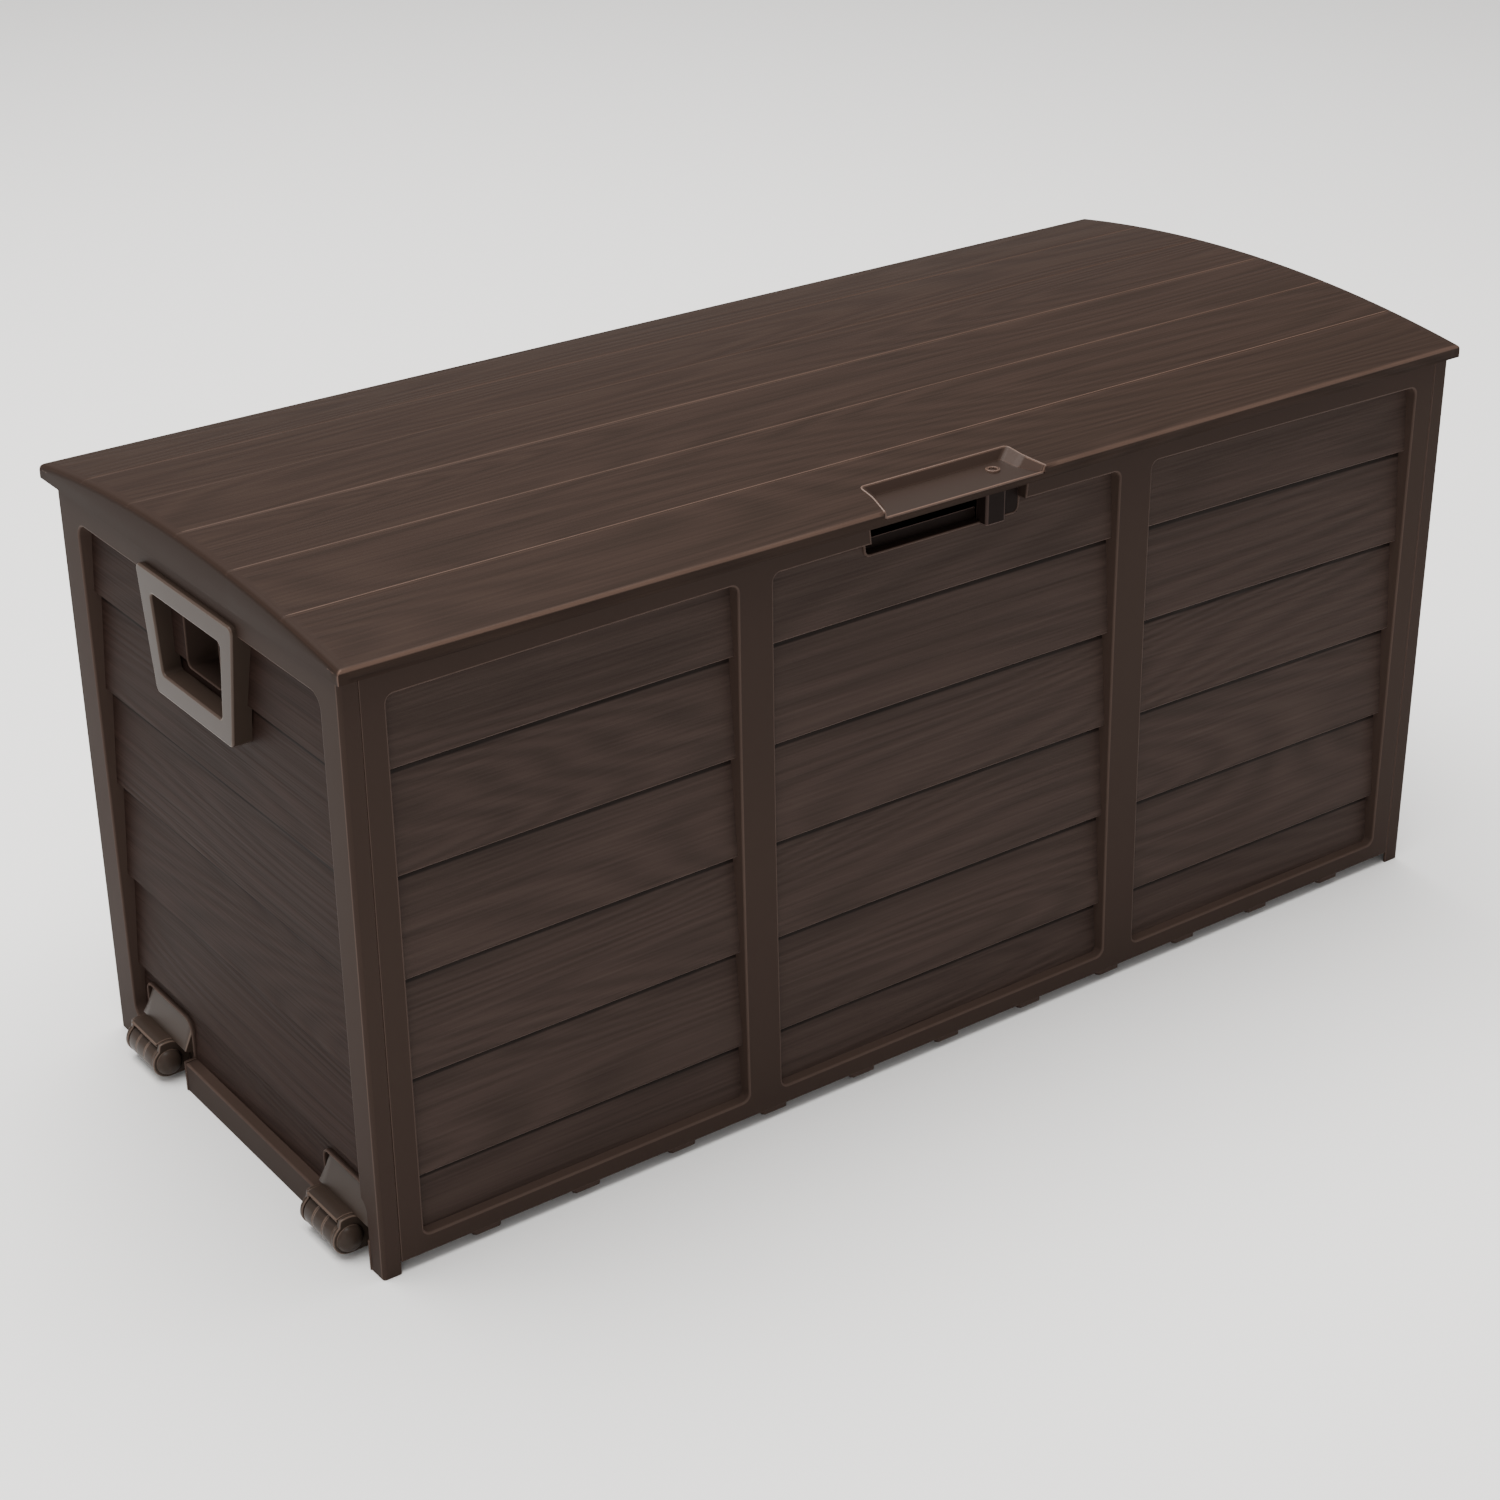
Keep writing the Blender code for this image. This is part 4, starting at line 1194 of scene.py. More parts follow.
def trimmed(mesh: bpy.types.Mesh) -> bpy.types.Mesh:
    """Cut the lowest and highest board off behind the rails.

    Args:
        mesh: The boards.

    Returns:
        The same mesh, closed where it was cut.
    """
    behind = 0.0012
    for height, normal in ((BOX.field_bottom - behind, (0, 0, -1)), (BOX.field_top + behind, (0, 0, 1))):
        work = bmesh.new()
        work.from_mesh(mesh)
        cut = bmesh.ops.bisect_plane(work, geom=work.verts[:] + work.edges[:] + work.faces[:],
                                     plane_co=(0, 0, height), plane_no=normal, clear_outer=True)
        rim = [part for part in cut["geom_cut"] if isinstance(part, bmesh.types.BMEdge)]
        bmesh.ops.holes_fill(work, edges=rim)
        work.to_mesh(mesh)
        work.free()
    return mesh


@dataclass
class FramedWall:
    """A smooth frame around sunken bays, each filled with lapped boards."""

    bays: tuple[Flat, ...]
    outer: Flat
    foot: float
    place: Placer
    bay_bottom: float = 0.0270
    bay_top: float = 0.4830
    corner: float = 0.0065
    lip: float = 0.0016
    reveal: float = 0.0165
    draft: float = 0.0016
    # Strength of the painted highlight on the bays' reveal walls.
    wall_light: float = 0.40
    splits_u: int = 14
    splits_v: int = 22
    corner_steps: int = 6

    def frame_mesh(self, name: str) -> bpy.types.Mesh:
        """The frame: one ring of skin around each bay, joined along the middle of each stile.

        Args:
            name: The mesh's name.

        Returns:
            The frame as a closed mesh.
        """
        work = bmesh.new()
        edges = [self.outer[0]]
        edges += [(a[1] + b[0]) / 2 for a, b in zip(self.bays, self.bays[1:])]
        edges.append(self.outer[1])
        work.verts.layers.float.new("seam")
        for (low, high), start, stop in zip(self.bays, edges, edges[1:]):
            self._cell(work, low, high, start, stop)
        bmesh.ops.remove_doubles(work, verts=work.verts, dist=1e-6)
        rims = [e for e in work.edges if len(e.link_faces) == 1]
        bmesh.ops.bridge_loops(work, edges=rims)
        bmesh.ops.recalc_face_normals(work, faces=work.faces)
        sharp = [e for e in work.edges if len(e.link_faces) == 2 and e.calc_face_angle(0.0) > 1.1]
        bmesh.ops.bevel(work, geom=sharp, offset=0.0007, segments=2, profile=0.5, affect="EDGES",
                        clamp_overlap=True)
        return to_mesh(work, name)

    def _cell(self, work: bmesh.types.BMesh, low: float, high: float, start: float, stop: float) -> None:
        """Add the skin around one bay, from the front face round the reveal to the back."""
        outline = self._bay(low, high, 0.0)
        rings = [(self._surround(outline, low, high, start, stop), 0.0)]
        for k in range(5):
            turn = math.pi / 2 * k / 4
            inset = -self.lip + self.lip * math.sin(turn)
            rings.append((self._bay(low, high, inset), self.lip * (1 - math.cos(turn))))
        rings.append((self._bay(low, high, self.draft), self.reveal))
        rings.append((self._bay(low, high, self.draft - 0.0028), self.reveal))
        rings.append((self._bay(low, high, -0.0028), BOX.wall))
        rings.append((self._surround(outline, low, high, start, stop), BOX.wall))
        made = [[work.verts.new(self.place(u, v, depth)) for u, v in ring] for ring, depth in rings]
        # The reveal walls get a painted highlight, lighter all round each bay.
        seam = work.verts.layers.float.get("seam")
        for ring in (made[5], made[6]):
            for vertex in ring:
                vertex[seam] = self.wall_light
        for first, second in zip(made, made[1:]):
            bridge(work, first, second)

    def _bay(self, low: float, high: float, inset: float) -> list[Flat]:
        """One bay's rounded outline, drawn in by `inset`."""
        corners = rectangle((low + inset, self.bay_bottom + inset), (high - inset, self.bay_top - inset))
        radius = max(0.001, self.corner - inset)
        points: list[Flat] = []
        runs = (self.splits_u, self.splits_v, self.splits_u, self.splits_v)
        straight = rounded_outline(corners, radius, self.corner_steps, 1)
        step = self.corner_steps + 1
        for k in range(4):
            run = straight[k * step:(k + 1) * step]
            points += run
            here, there = Vector(run[-1]), Vector(straight[((k + 1) * step) % len(straight)])
            points += [tuple(here.lerp(there, n / runs[k])) for n in range(1, runs[k])]
        return points

    def _surround(self, outline: Sequence[Flat], low: float, high: float, start: float,
                  stop: float) -> list[Flat]:
        """The rectangle around a bay, with one point for each point of the bay's outline."""
        points = []
        r = self.corner
        for u, v in outline:
            left, right = u < low + r - 1e-9, u > high - r + 1e-9
            down, up = v < self.bay_bottom + r - 1e-9, v > self.bay_top - r + 1e-9
            edge_u = start if left else stop
            edge_v = self.foot if down else BOX.top_z
            if (left or right) and (down or up):
                centre_u = low + r if left else high - r
                centre_v = self.bay_bottom + r if down else self.bay_top - r
                turn = math.atan2(abs(v - centre_v), abs(u - centre_u)) / (math.pi / 2)
                if turn < 0.5:
                    points.append((edge_u, centre_v + (edge_v - centre_v) * turn * 2))
                else:
                    points.append((centre_u + (edge_u - centre_u) * (1 - turn) * 2, edge_v))
            elif left or right:
                points.append((edge_u, v))
            else:
                points.append((u, edge_v))
        return points


@dataclass
class LongWall:
    """The front or the back panel."""

    name: str
    face: float
    inwards: int
    bow: float
    bays: tuple[Flat, ...] = ((-0.5190, -0.2115), (-0.1780, 0.1760), (0.2115, 0.5190))
    half: float = 0.5400
    nose_depth: float = 0.0062
    top_depth: float = 0.0125

    def place(self, u: float, v: float, depth: float) -> Point:
        """Map a place on the panel to the box."""
        return (u, self.face + self.inwards * (depth + BOX.flex(u, v, self.bow)), v)

    def frame_mesh(self) -> bpy.types.Mesh:
        """The panel's frame."""
        wall = FramedWall(self.bays, (-self.half, self.half), BOX.panel_foot, self.place)
        return wall.frame_mesh(self.name + "_frame")

    def board_mesh(self) -> bpy.types.Mesh:
        """All the panel's lapped boards."""
        meshes = []
        for low, high in self.bays:
            mesh = LAP_BOARDS.grow(
                self.name + "_boards", length=high - low, centre=(low + high) / 2,
                lowest=BOX.first_lap - BOX.lap_count * BOX.lap_pitch, pitch=BOX.lap_pitch,
                boards=BOX.lap_count + 1, nose_depth=self.nose_depth, top_depth=self.top_depth,
                segments=20, bow=self.bow, bow_half=BOX.bow_half, bow_foot=BOX.panel_foot,
                bow_rise=BOX.bow_rise)
            if self.inwards < 0:
                mesh.transform(Matrix.Scale(-1.0, 4, (0.0, 1.0, 0.0)))
                mesh.flip_normals()
            mesh.transform(Matrix.Translation((0.0, self.face, 0.0)))
            meshes.append(mesh)
        return trimmed(merged(meshes, self.name + "_boards"))


@dataclass
class FrontPanel(LongWall):
    """The front panel with its finger opening, lock shelf and lock post."""

    grip_x: float = -0.0045
    grip_foot: float = 0.4700
    grip_top: float = 0.5300
    foot_half: float = 0.0775
    top_half: float = 0.0845
    shelf_depth: float = 0.0176
    post_half: float = 0.0100
    lip_depth: float = 0.0086
    rib_height: float = 0.0110
    post_top: float = 0.5045

    def build(self) -> None:
        """Build and dress the panel."""
        opening = self._opening()
        tool = slab(opening, -0.02, 0.04, lambda u, v, d: (u, self.face + d, v), "grip_tool")
        frame_mesh = carve(self.frame_mesh(), tool)
        tool = slab(opening, -0.02, 0.04, lambda u, v, d: (u, self.face + d, v), "grip_tool")
        boards = carve(self.board_mesh(), tool, overlapping=True)
        publish("front_frame", frame_mesh, FRAME_FINISH, Body.BOX, ["front_panel"])
        number_boards(boards, 2, BOX.first_lap, BOX.lap_pitch)
        publish("front_boards", boards, BOARD_FINISH, Body.BOX)
        publish("finger_opening_lip", self._lip(opening), FRAME_FINISH, Body.BOX, ["lock_shelf"])
        # The lock post, web and rib are painted darker for the shade under the tray.
        publish("lock_post", self._post(), SHADED_RECESS_FINISH, Body.BOX, ["lock_shelf"])

    def _opening(self) -> list[Flat]:
        """The finger opening's outline, open past the panel's top edge."""
        corners = [(self.grip_x - self.foot_half, self.grip_foot), (self.grip_x + self.foot_half, self.grip_foot),
                   (self.grip_x + self.top_half, self.grip_top), (self.grip_x - self.top_half, self.grip_top)]
        return rounded_outline(corners, [0.005, 0.005, 0.001, 0.001], 8)

    def _lip(self, opening: Sequence[Flat]) -> bpy.types.Mesh:
        """The thin lip that lines the opening and carries the shelf."""
        stop, rail = BOX.top_z - 0.0004, BOX.field_top + 0.0006
        left, right = (opening[-1], opening[0]), (opening[17], opening[18])
        path = [self._at_height(*left, stop), self._at_height(*left, rail), self._at_height(*left, rail - 0.0006)]
        path += opening[:18]
        path += [self._at_height(*right, rail - 0.0006), self._at_height(*right, rail), self._at_height(*right, stop)]
        front = BOX.flex(self.grip_x, self.grip_foot, self.bow)

        def near(height: float) -> float:
            return front + (0.0 if height > rail - 0.0003 else self.lip_depth)

        mesh = stepped_lip(path, near, front + self.shelf_depth, lambda u, v, d: (u, self.face + d, v), "lip")
        return mesh

    def _rib(self) -> bpy.types.Mesh:
        """The low rib along the shelf's back edge, up to the lock post."""
        corners = rectangle((self.grip_x - self.foot_half - 0.0006, self.grip_foot - 0.0010),
                            (BOX.lock_x - self.post_half + 0.0006, self.grip_foot + self.rib_height))
        deep = BOX.flex(self.grip_x, self.grip_foot, self.bow) + self.shelf_depth
        return slab(rounded_outline(corners, 0.0006, 3), deep - 0.0018, deep - 0.0002,
                    lambda u, v, d: (u, self.face + d, v), "rib", 0.0005, 3)

    @staticmethod
    def _at_height(first: Flat, second: Flat, height: float) -> Flat:
        """The point at a height on the line through two points."""
        part = (height - first[1]) / (second[1] - first[1])
        return (first[0] + (second[0] - first[0]) * part, height)

    def _post(self) -> bpy.types.Mesh:
        """The lug that stands on the shelf under the lid's lock hole."""
        corners = rectangle((BOX.lock_x - self.post_half, BOX.lock_y - 0.0060),
                            (BOX.lock_x + self.post_half, BOX.lock_y + 0.0080))
        outline = rounded_outline(corners, 0.002, 5)
        mesh = slab(outline, self.grip_foot - 0.0010, self.post_top, plan, "lock_post", 0.0008)
        tool = slab(arc((BOX.lock_x, BOX.lock_y), BOX.lock_hole, 0, 352.5, 47), 0.45, 0.52,
                    plan, "lock_bore")
        return merged([carve(mesh, tool), self._web(), self._rib()], "lock_post")

    def _web(self) -> bpy.types.Mesh:
        """The thin web that joins the lug to the opening's right side."""
        low, high = BOX.lock_x + self.post_half - 0.0004, self.grip_x + self.foot_half + 0.0004
        corners = rectangle((low, self.grip_foot - 0.0008), (high, self.post_top))
        start = BOX.lock_y + 0.0020 - self.face
        return slab(rounded_outline(corners, 0.0006, 3), start, start + 0.0024,
                    lambda u, v, d: (u, self.face + d, v), "lock_web", 0.0004, 2)


@dataclass
class BackPanel(LongWall):
    """The back panel with the lugs that carry the lid's hinges."""

    lug_near: float = 0.0084
    lug_width: float = 0.0100

    def build(self) -> None:
        """Build and dress the panel."""
        publish("back_frame", self.frame_mesh(), FRAME_FINISH, Body.BOX, ["back_panel"])
        boards = self.board_mesh()
        number_boards(boards, 2, BOX.first_lap, BOX.lap_pitch)
        publish("back_boards", boards, BOARD_FINISH, Body.BOX)
        lugs = [self._lug(centre, side) for centre in BOX.hinges for side in (-1, 1)]
        publish("hinge_lugs", merged(lugs, "hinge_lugs"), FRAME_FINISH, Body.BOX)

    def _lug(self, centre: float, side: int) -> bpy.types.Mesh:
        """One bored lug beside a hinge's middle knuckle."""
        half = 0.0040
        web = math.degrees(math.asin(half / BOX.knuckle))
        outline = [(BOX.back_y - 0.0020, BOX.hinge_z + half), (BOX.back_y - 0.0020, BOX.hinge_z - half)]
        outline += arc((BOX.hinge_y, BOX.hinge_z), BOX.knuckle, -180 + web, 180 - web, 28)
        ends = sorted((centre + side * self.lug_near, centre + side * (self.lug_near + self.lug_width)))
        return hinge_leaf(outline, ends[0], ends[1], "hinge_lug")


@dataclass
class EndPanel:
    """An end panel: a framed field of boards, wrapped round the box's corners."""

    side: Side
    field_y: Flat = (-0.2070, 0.1890)
    bend: float = 0.0030
    nose_depth: float = 0.0075
    top_depth: float = 0.0130
    pocket_half: float = 0.0290
    pocket_z: Flat = (0.4185, 0.4810)
    pocket_back: float = 0.0250

    @property
    def name(self) -> str:
        """Which end this is."""
        return "left" if self.side is Side.LOW else "right"

    @property
    def middle(self) -> float:
        """The middle of the box's depth."""
        return (BOX.front_y + BOX.back_y) / 2

    def place(self, u: float, v: float, depth: float) -> Point:
        """Map a place on the panel to the box."""
        return (self.side.value * (BOX.end_x - depth), u, v)

    def wrap(self, u: float, v: float, depth: float) -> Point:
        """Map a place on the panel to the box, bending round the corners past its flat part."""
        low, high = BOX.front_y + self.bend, BOX.back_y - self.bend
        if low <= u <= high:
            return self.place(u, v, depth)
        over = low - u if u < low else u - high
        sign = -1 if u < low else 1
        hub_y = low if u < low else high
        radius = self.bend - depth
        quarter = self.bend * math.pi / 2
        if over < quarter:
            turn = over / self.bend
            x = BOX.end_x - self.bend + radius * math.cos(turn)
            y = hub_y + sign * radius * math.sin(turn)
        else:
            x = BOX.end_x - self.bend - (over - quarter)
            y = hub_y + sign * radius
        return (self.side.value * x, y, v)

    def build(self, pockets: Sequence["RollerUnit"] = ()) -> None:
        """Build and dress the panel.

        Args:
            pockets: The roller units let into this end.
        """
        frame_mesh = self._frame()
        boards = self._boards()
        cup = self._cup_outline()
        boards = carve(boards, slab(cup, -0.02, 0.04, self.place, "cup_tool"), overlapping=True)
        for unit in pockets:
            tool_outline = unit.pocket_outline(0.0)
            frame_mesh = carve(frame_mesh, slab(tool_outline, -0.02, 0.06, self.place, "pocket_tool"))
            boards = carve(boards, slab(tool_outline, -0.02, 0.06, self.place, "pocket_tool"), overlapping=True)
        publish(self.name + "_frame", frame_mesh, FRAME_FINISH, Body.BOX, [self.name + "_end_panel"])
        number_boards(boards, 2, BOX.first_lap, BOX.lap_pitch)
        publish(self.name + "_boards", boards, END_BOARD_FINISH, Body.BOX)
        publish(self.name + "_finger_pocket", self._cup(cup), FRAME_FINISH, Body.BOX)

    def _frame(self) -> bpy.types.Mesh:
        """The frame with its wrapped returns, as one closed mesh."""
        reach = BOX.end_x - self.bend - BOX.return_tip + self.bend * math.pi / 2
        outer = (BOX.front_y + self.bend - reach, BOX.back_y - self.bend + reach)
        wall = FramedWall((self.field_y,), (BOX.front_y + self.bend, BOX.back_y - self.bend), 0.0, self.wrap,
                          corner=0.012, splits_u=10)
        mesh = wall.frame_mesh(self.name + "_frame")
        returns = [self._return(outer[0], BOX.front_y + self.bend), self._return(BOX.back_y - self.bend, outer[1])]
        return merged([mesh, *returns], self.name + "_frame")

    def _return(self, low: float, high: float) -> bpy.types.Mesh:
        """One corner's bent return, from the end face round to its tip."""
        quarter = self.bend * math.pi / 2
        flat_first = low < BOX.front_y
        bend_at = (high - quarter) if flat_first else (low + quarter)
        steps = [k / 6 for k in range(7)]
        if flat_first:
            places = [low, low + 0.0004] + [bend_at + quarter * k for k in steps]
        else:
            places = [low + quarter * k for k in steps] + [high - 0.0004, high]
        heights = [0.0, 0.0006] + [BOX.top_z * k / 16 for k in range(1, 16)] + [BOX.top_z]
        rings = []
        for v in heights:
            ease = 0.0005 if v == 0.0 else 0.0
            outer = []
            for u in places:
                tip = 0.0005 if u in (low, high) and (u < BOX.front_y or u > BOX.back_y) else 0.0
                outer.append(self.wrap(u, v, ease + tip))
            inner = [self.wrap(u, v, min(BOX.wall, self.bend - 0.0002)) for u in reversed(places)]
            rings.append(outer + inner)
        return loft(rings, "return")

    def _boards(self) -> bpy.types.Mesh:
        """The end's lapped boards."""
        low, high = self.field_y
        mesh = LAP_BOARDS.grow(
            self.name + "_boards", length=high - low, centre=0.0,
            lowest=BOX.first_lap - BOX.lap_count * BOX.lap_pitch, pitch=BOX.lap_pitch,
            boards=BOX.lap_count + 1, nose_depth=self.nose_depth, top_depth=self.top_depth, segments=4,
            back_depth=0.0165)
        turn = Matrix.Rotation(math.radians(90 if self.side is Side.HIGH else -90), 4, "Z")
        mesh.transform(turn)
        mesh.transform(Matrix.Translation((self.side.value * BOX.end_x, (low + high) / 2, 0.0)))
        return trimmed(mesh)

    def _cup_outline(self) -> list[Flat]:
        """The finger pocket's mouth."""
        low = (self.middle - self.pocket_half, self.pocket_z[0])
        high = (self.middle + self.pocket_half, self.pocket_z[1])
        return rounded_outline(rectangle(low, high), 0.006, 5)

    def _cup(self, outline: Sequence[Flat]) -> bpy.types.Mesh:
        """The finger pocket's lining: rim, walls and back."""
        front, deep = self.nose_depth - 0.0004, self.pocket_back + self.nose_depth
        levels = [(0.0008, front + 0.004), (0.0005, front + 0.0003), (0.0001, front - 0.0001),
                  (-0.0004, front + 0.0004), (-0.0007, front + 0.0012), (-0.0018, deep - 0.003),
                  (-0.0030, deep - 0.0008), (-0.0050, deep)]
        inner = [[self.place(u, v, d) for u, v in grown(outline, g)] for g, d in levels]
        back = [[self.place(u, v, d) for u, v in grown(outline, g)]
                for g, d in ((-0.0052, deep + 0.0022), (-0.0020, deep + 0.0022), (0.0012, deep - 0.001))]
        work = bmesh.new()
        made = [[work.verts.new(p) for p in ring] for ring in inner]
        made_back = [[work.verts.new(p) for p in ring] for ring in back]
        work.faces.new(made[-1])
        work.faces.new(made_back[0])
        for chain in (made, made_back):
            for first, second in zip(chain, chain[1:]):
                bridge(work, first, second)
        bridge(work, made[0], made_back[-1])
        return to_mesh(work, "cup")


# ---- handles ------------------------------------------------------------------------------


@dataclass
class Handle:
    """A rigid grip frame that stands in front of a finger pocket."""

    side: Side
    proud: float = 0.0052
    foot_z: float = 0.3880
    head_z: float = 0.4915
    foot_half: float = 0.0632
    head_half: float = 0.0796
    hole_foot_z: float = 0.4070
    hole_head_z: float = 0.4725
    hole_foot_half: float = 0.0494
    hole_head_half: float = 0.0576
    back_depth: float = 0.0112
    edge: float = 0.0018

    def build(self) -> None:
        """Build and dress the handle."""
        name = "left_handle" if self.side is Side.LOW else "right_handle"
        middle = (BOX.front_y + BOX.back_y) / 2
        outer = self._outline(middle, self.foot_half, self.head_half, self.foot_z, self.head_z, 0.0055)
        hole = self._outline(middle, self.hole_foot_half, self.hole_head_half, self.hole_foot_z,
                             self.hole_head_z, 0.0045)
        turns = [math.pi / 2 * k / 4 for k in range(5)]
        rings = [(grown(outer, 0.0), self.back_depth)]
        rings += [(grown(outer, -self.edge * (1 - math.cos(t))), -self.proud + self.edge * (1 - math.sin(t)))
                  for t in turns]
        rings += [(grown(hole, self.edge * (1 - math.sin(t))), -self.proud + self.edge * (1 - math.cos(t)))
                  for t in turns]
        rings.append((grown(hole, -0.0008), self.back_depth))
        points = [[(self.side.value * (BOX.end_x - d), u, v) for u, v in ring] for ring, d in rings]
        publish(name, loft(points, name, closed_loft=True), HANDLE_FINISH, Body.BOX, [name])

    @staticmethod
    def _outline(middle: float, foot_half: float, head_half: float, foot: float, head: float,
                 radius: float) -> list[Flat]:
        """A tapered outline with rounded corners, wider at its head."""
        corners = [(middle - foot_half, foot), (middle + foot_half, foot), (middle + head_half, head),
                   (middle - head_half, head)]
        return rounded_outline(corners, radius, 6, 6)


# ---- rollers --------------------------------------------------------------------------------


@dataclass
class RollerUnit:
    """One carrying roller with its pocket, bracket, ears, hood and axle."""

    where: str
    body: Body
    pocket_width: float = 0.0825
    pocket_top: float = 0.0630
    far_ear: float = 0.0045
    ear_thick: float = 0.0040
    ear_radius: float = 0.0145
    hood_outer: float = 0.0200
    hood_inner: float = 0.0168
    bracket_back: float = 0.0163
    rim_depth: float = 0.0088

    def __post_init__(self) -> None:
        """Read the roller's place from the frame."""
        low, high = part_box(self.where + "_roller")
        self.axis = ((low.x + high.x) / 2 - BOX.centre.x, (low.z + high.z) / 2)
        self.radius = (high.z - low.z) / 2
        self.near, self.far = low.y, high.y
        self.pocket_far = self.far + 0.0004 + self.ear_thick + self.far_ear
        self.pocket_near = self.pocket_far - self.pocket_width

    def pocket_outline(self, margin: float) -> list[Flat]:
        """The pocket's outline on the end face, anticlockwise, open at the ground."""
        near, far = self.pocket_near + margin, self.pocket_far - margin
        top = self.pocket_top - margin
        corners = [(near, -0.01), (far, -0.01), (far, top), (near, top)]
        return rounded_outline(corners, [0.001, 0.001, 0.007 - margin, 0.012 - margin], 7)

    def build(self) -> None:
        """Build and dress the unit."""
        publish(self.where + "_pocket_rim", self._rim(), FRAME_FINISH, Body.BOX)
        bracket = merged([self._plate(), self._hood(), self._cap(), *self._ears()], "bracket")
        name = self.where + "_roller_bracket"
        publish(name, bracket, ROLLER_FINISH, Body.BOX, [name])
        publish(self.where + "_roller", self._roller(), ROLLER_FINISH, self.body, [self.where + "_roller"])
        publish(self.where + "_axle", self._axle(), PIN_FINISH, Body.BOX, [self.where + "_axle"])

    def place(self, u: float, v: float, depth: float) -> Point:
        """Map a place on the left end face to the box."""
        return (-BOX.end_x + depth, u, v)

    def _rim(self) -> bpy.types.Mesh:
        """The thin lip around the pocket, nearly flush with the boards."""
        outline = self.pocket_outline(0.0)
        count = len(outline) // 4
        rail = BOX.field_bottom + 0.0010
        low = [0.0006, rail, rail + 0.0006]
        path = [(self.pocket_far, v) for v in low] + outline[2 * count:4 * count]
        path += [(self.pocket_near, v) for v in reversed(low)]
        return stepped_lip(path, lambda v: -0.0004 if v < rail + 0.0003 else self.rim_depth, 0.0158,
                           self.place, "pocket_rim")

    def _plate(self) -> bpy.types.Mesh:
        """The plate at the back of the pocket, sloping out to the top of the hood."""
        low, high = self.pocket_near + 0.0012, self.pocket_far - 0.0012
        top = self.pocket_top - 0.0014
        deep = self.bracket_back
        side = [(deep, 0.0020), (deep, 0.0310), (0.0020, 0.0362), (0.0112, top), (0.0145, top),
                (deep + 0.0022, 0.0400), (deep + 0.0022, 0.0020)]
        fall = 0.010
        rings = []
        for u, drop in ((low, fall * 0.5), (low + 0.002, fall * 0.2), (low + fall * 0.6, 0.0),
                        (high - fall, 0.0), (high - 0.003, fall * 0.35), (high, fall)):
            rings.append([self.place(u, min(v, top - drop) if v > 0.0400 else v, d) for d, v in side])
        return loft(rings, "plate")

    def _hood(self) -> bpy.types.Mesh:
        """The mudguard over the roller's back and top."""
        inner, outer = self.hood_inner, self.hood_outer
        section = arc(self.axis, outer, 2, 118, 22) + arc(self.axis, inner, 118, 2, 22)
        low, high = self.near - 0.0006, self.far + 0.0006
        rings = [[(x, y, z) for x, z in grown(section, -shrink)]
                 for y, shrink in ((low, 0.0006), (low + 0.0006, 0.0), (high - 0.0006, 0.0), (high, 0.0006))]
        return loft(rings, "hood")

    def _ears(self) -> list[bpy.types.Mesh]:
        """The two ears that hold the axle, and the boss on the near one."""
        meshes = []
        x, z = self.axis
        back = -BOX.end_x + self.bracket_back - 0.0010
        spans = ((self.far + 0.0004, self.far + 0.0004 + self.ear_thick),
                 (self.near - 0.0004 - self.ear_thick, self.near - 0.0004))
        for low, high in spans:
            outline = [(back, 0.0035), (back, z + self.hood_outer * 0.8), (x + 0.0100, z + self.hood_outer * 0.80)]
            outline += arc(self.axis, self.hood_outer * 0.96, 52, 112, 8)
            outline += arc(self.axis, self.ear_radius, 125, 268, 22)
            meshes.append(slab(outline, low, high, lambda u, v, d: (u, d, v), "ear", 0.0010))
        return meshes

    def _roller(self) -> bpy.types.Mesh:
        """The roller: a barrel with two shallow grooves and eased ends."""
        near, far, r = self.near, self.far, self.radius
        third = (far - near) / 3
        profile = [(0.0034, near), (r - 0.0022, near), (r - 0.0008, near + 0.0005), (r, near + 0.0018)]
        for groove in (near + third, far - third):
            profile += [(r, groove - 0.0016), (r, groove - 0.0008), (r - 0.0003, groove - 0.0003),
                        (r - 0.0003, groove + 0.0003), (r, groove + 0.0008), (r, groove + 0.0016)]
        profile += [(r, far - 0.0018), (r - 0.0008, far - 0.0005), (r - 0.0022, far), (0.0034, far)]
        return turned(profile, self.axis, 64, "roller", closed=True)

    def _axle(self) -> bpy.types.Mesh:
        """The axle, from the far ear to inside the near cap."""
        near = self.near - 0.0004 - self.ear_thick + 0.0006
        far = self.far + 0.0004 + self.ear_thick - 0.0005
        profile = [(0.0026, far), (0.0030, far - 0.0004), (0.0030, near + 0.0004), (0.0026, near)]
        return turned(profile, self.axis, 48, "axle")

    def _cap(self) -> bpy.types.Mesh:
        """The domed cap that closes the near ear over the axle's end."""
        head = self.near - 0.0004 - self.ear_thick + 0.0004
        reach, height = self.ear_radius - 0.0028, 0.0076
        profile = [(reach, head)] + [(max(0.0006, reach * math.cos(t)), head - height * math.sin(t))
                                     for t in (math.pi / 2 * k / 9 for k in range(1, 10))]
        return turned(profile, self.axis, 48, "cap")


# ---- lid ---------------------------------------------------------------------------------------


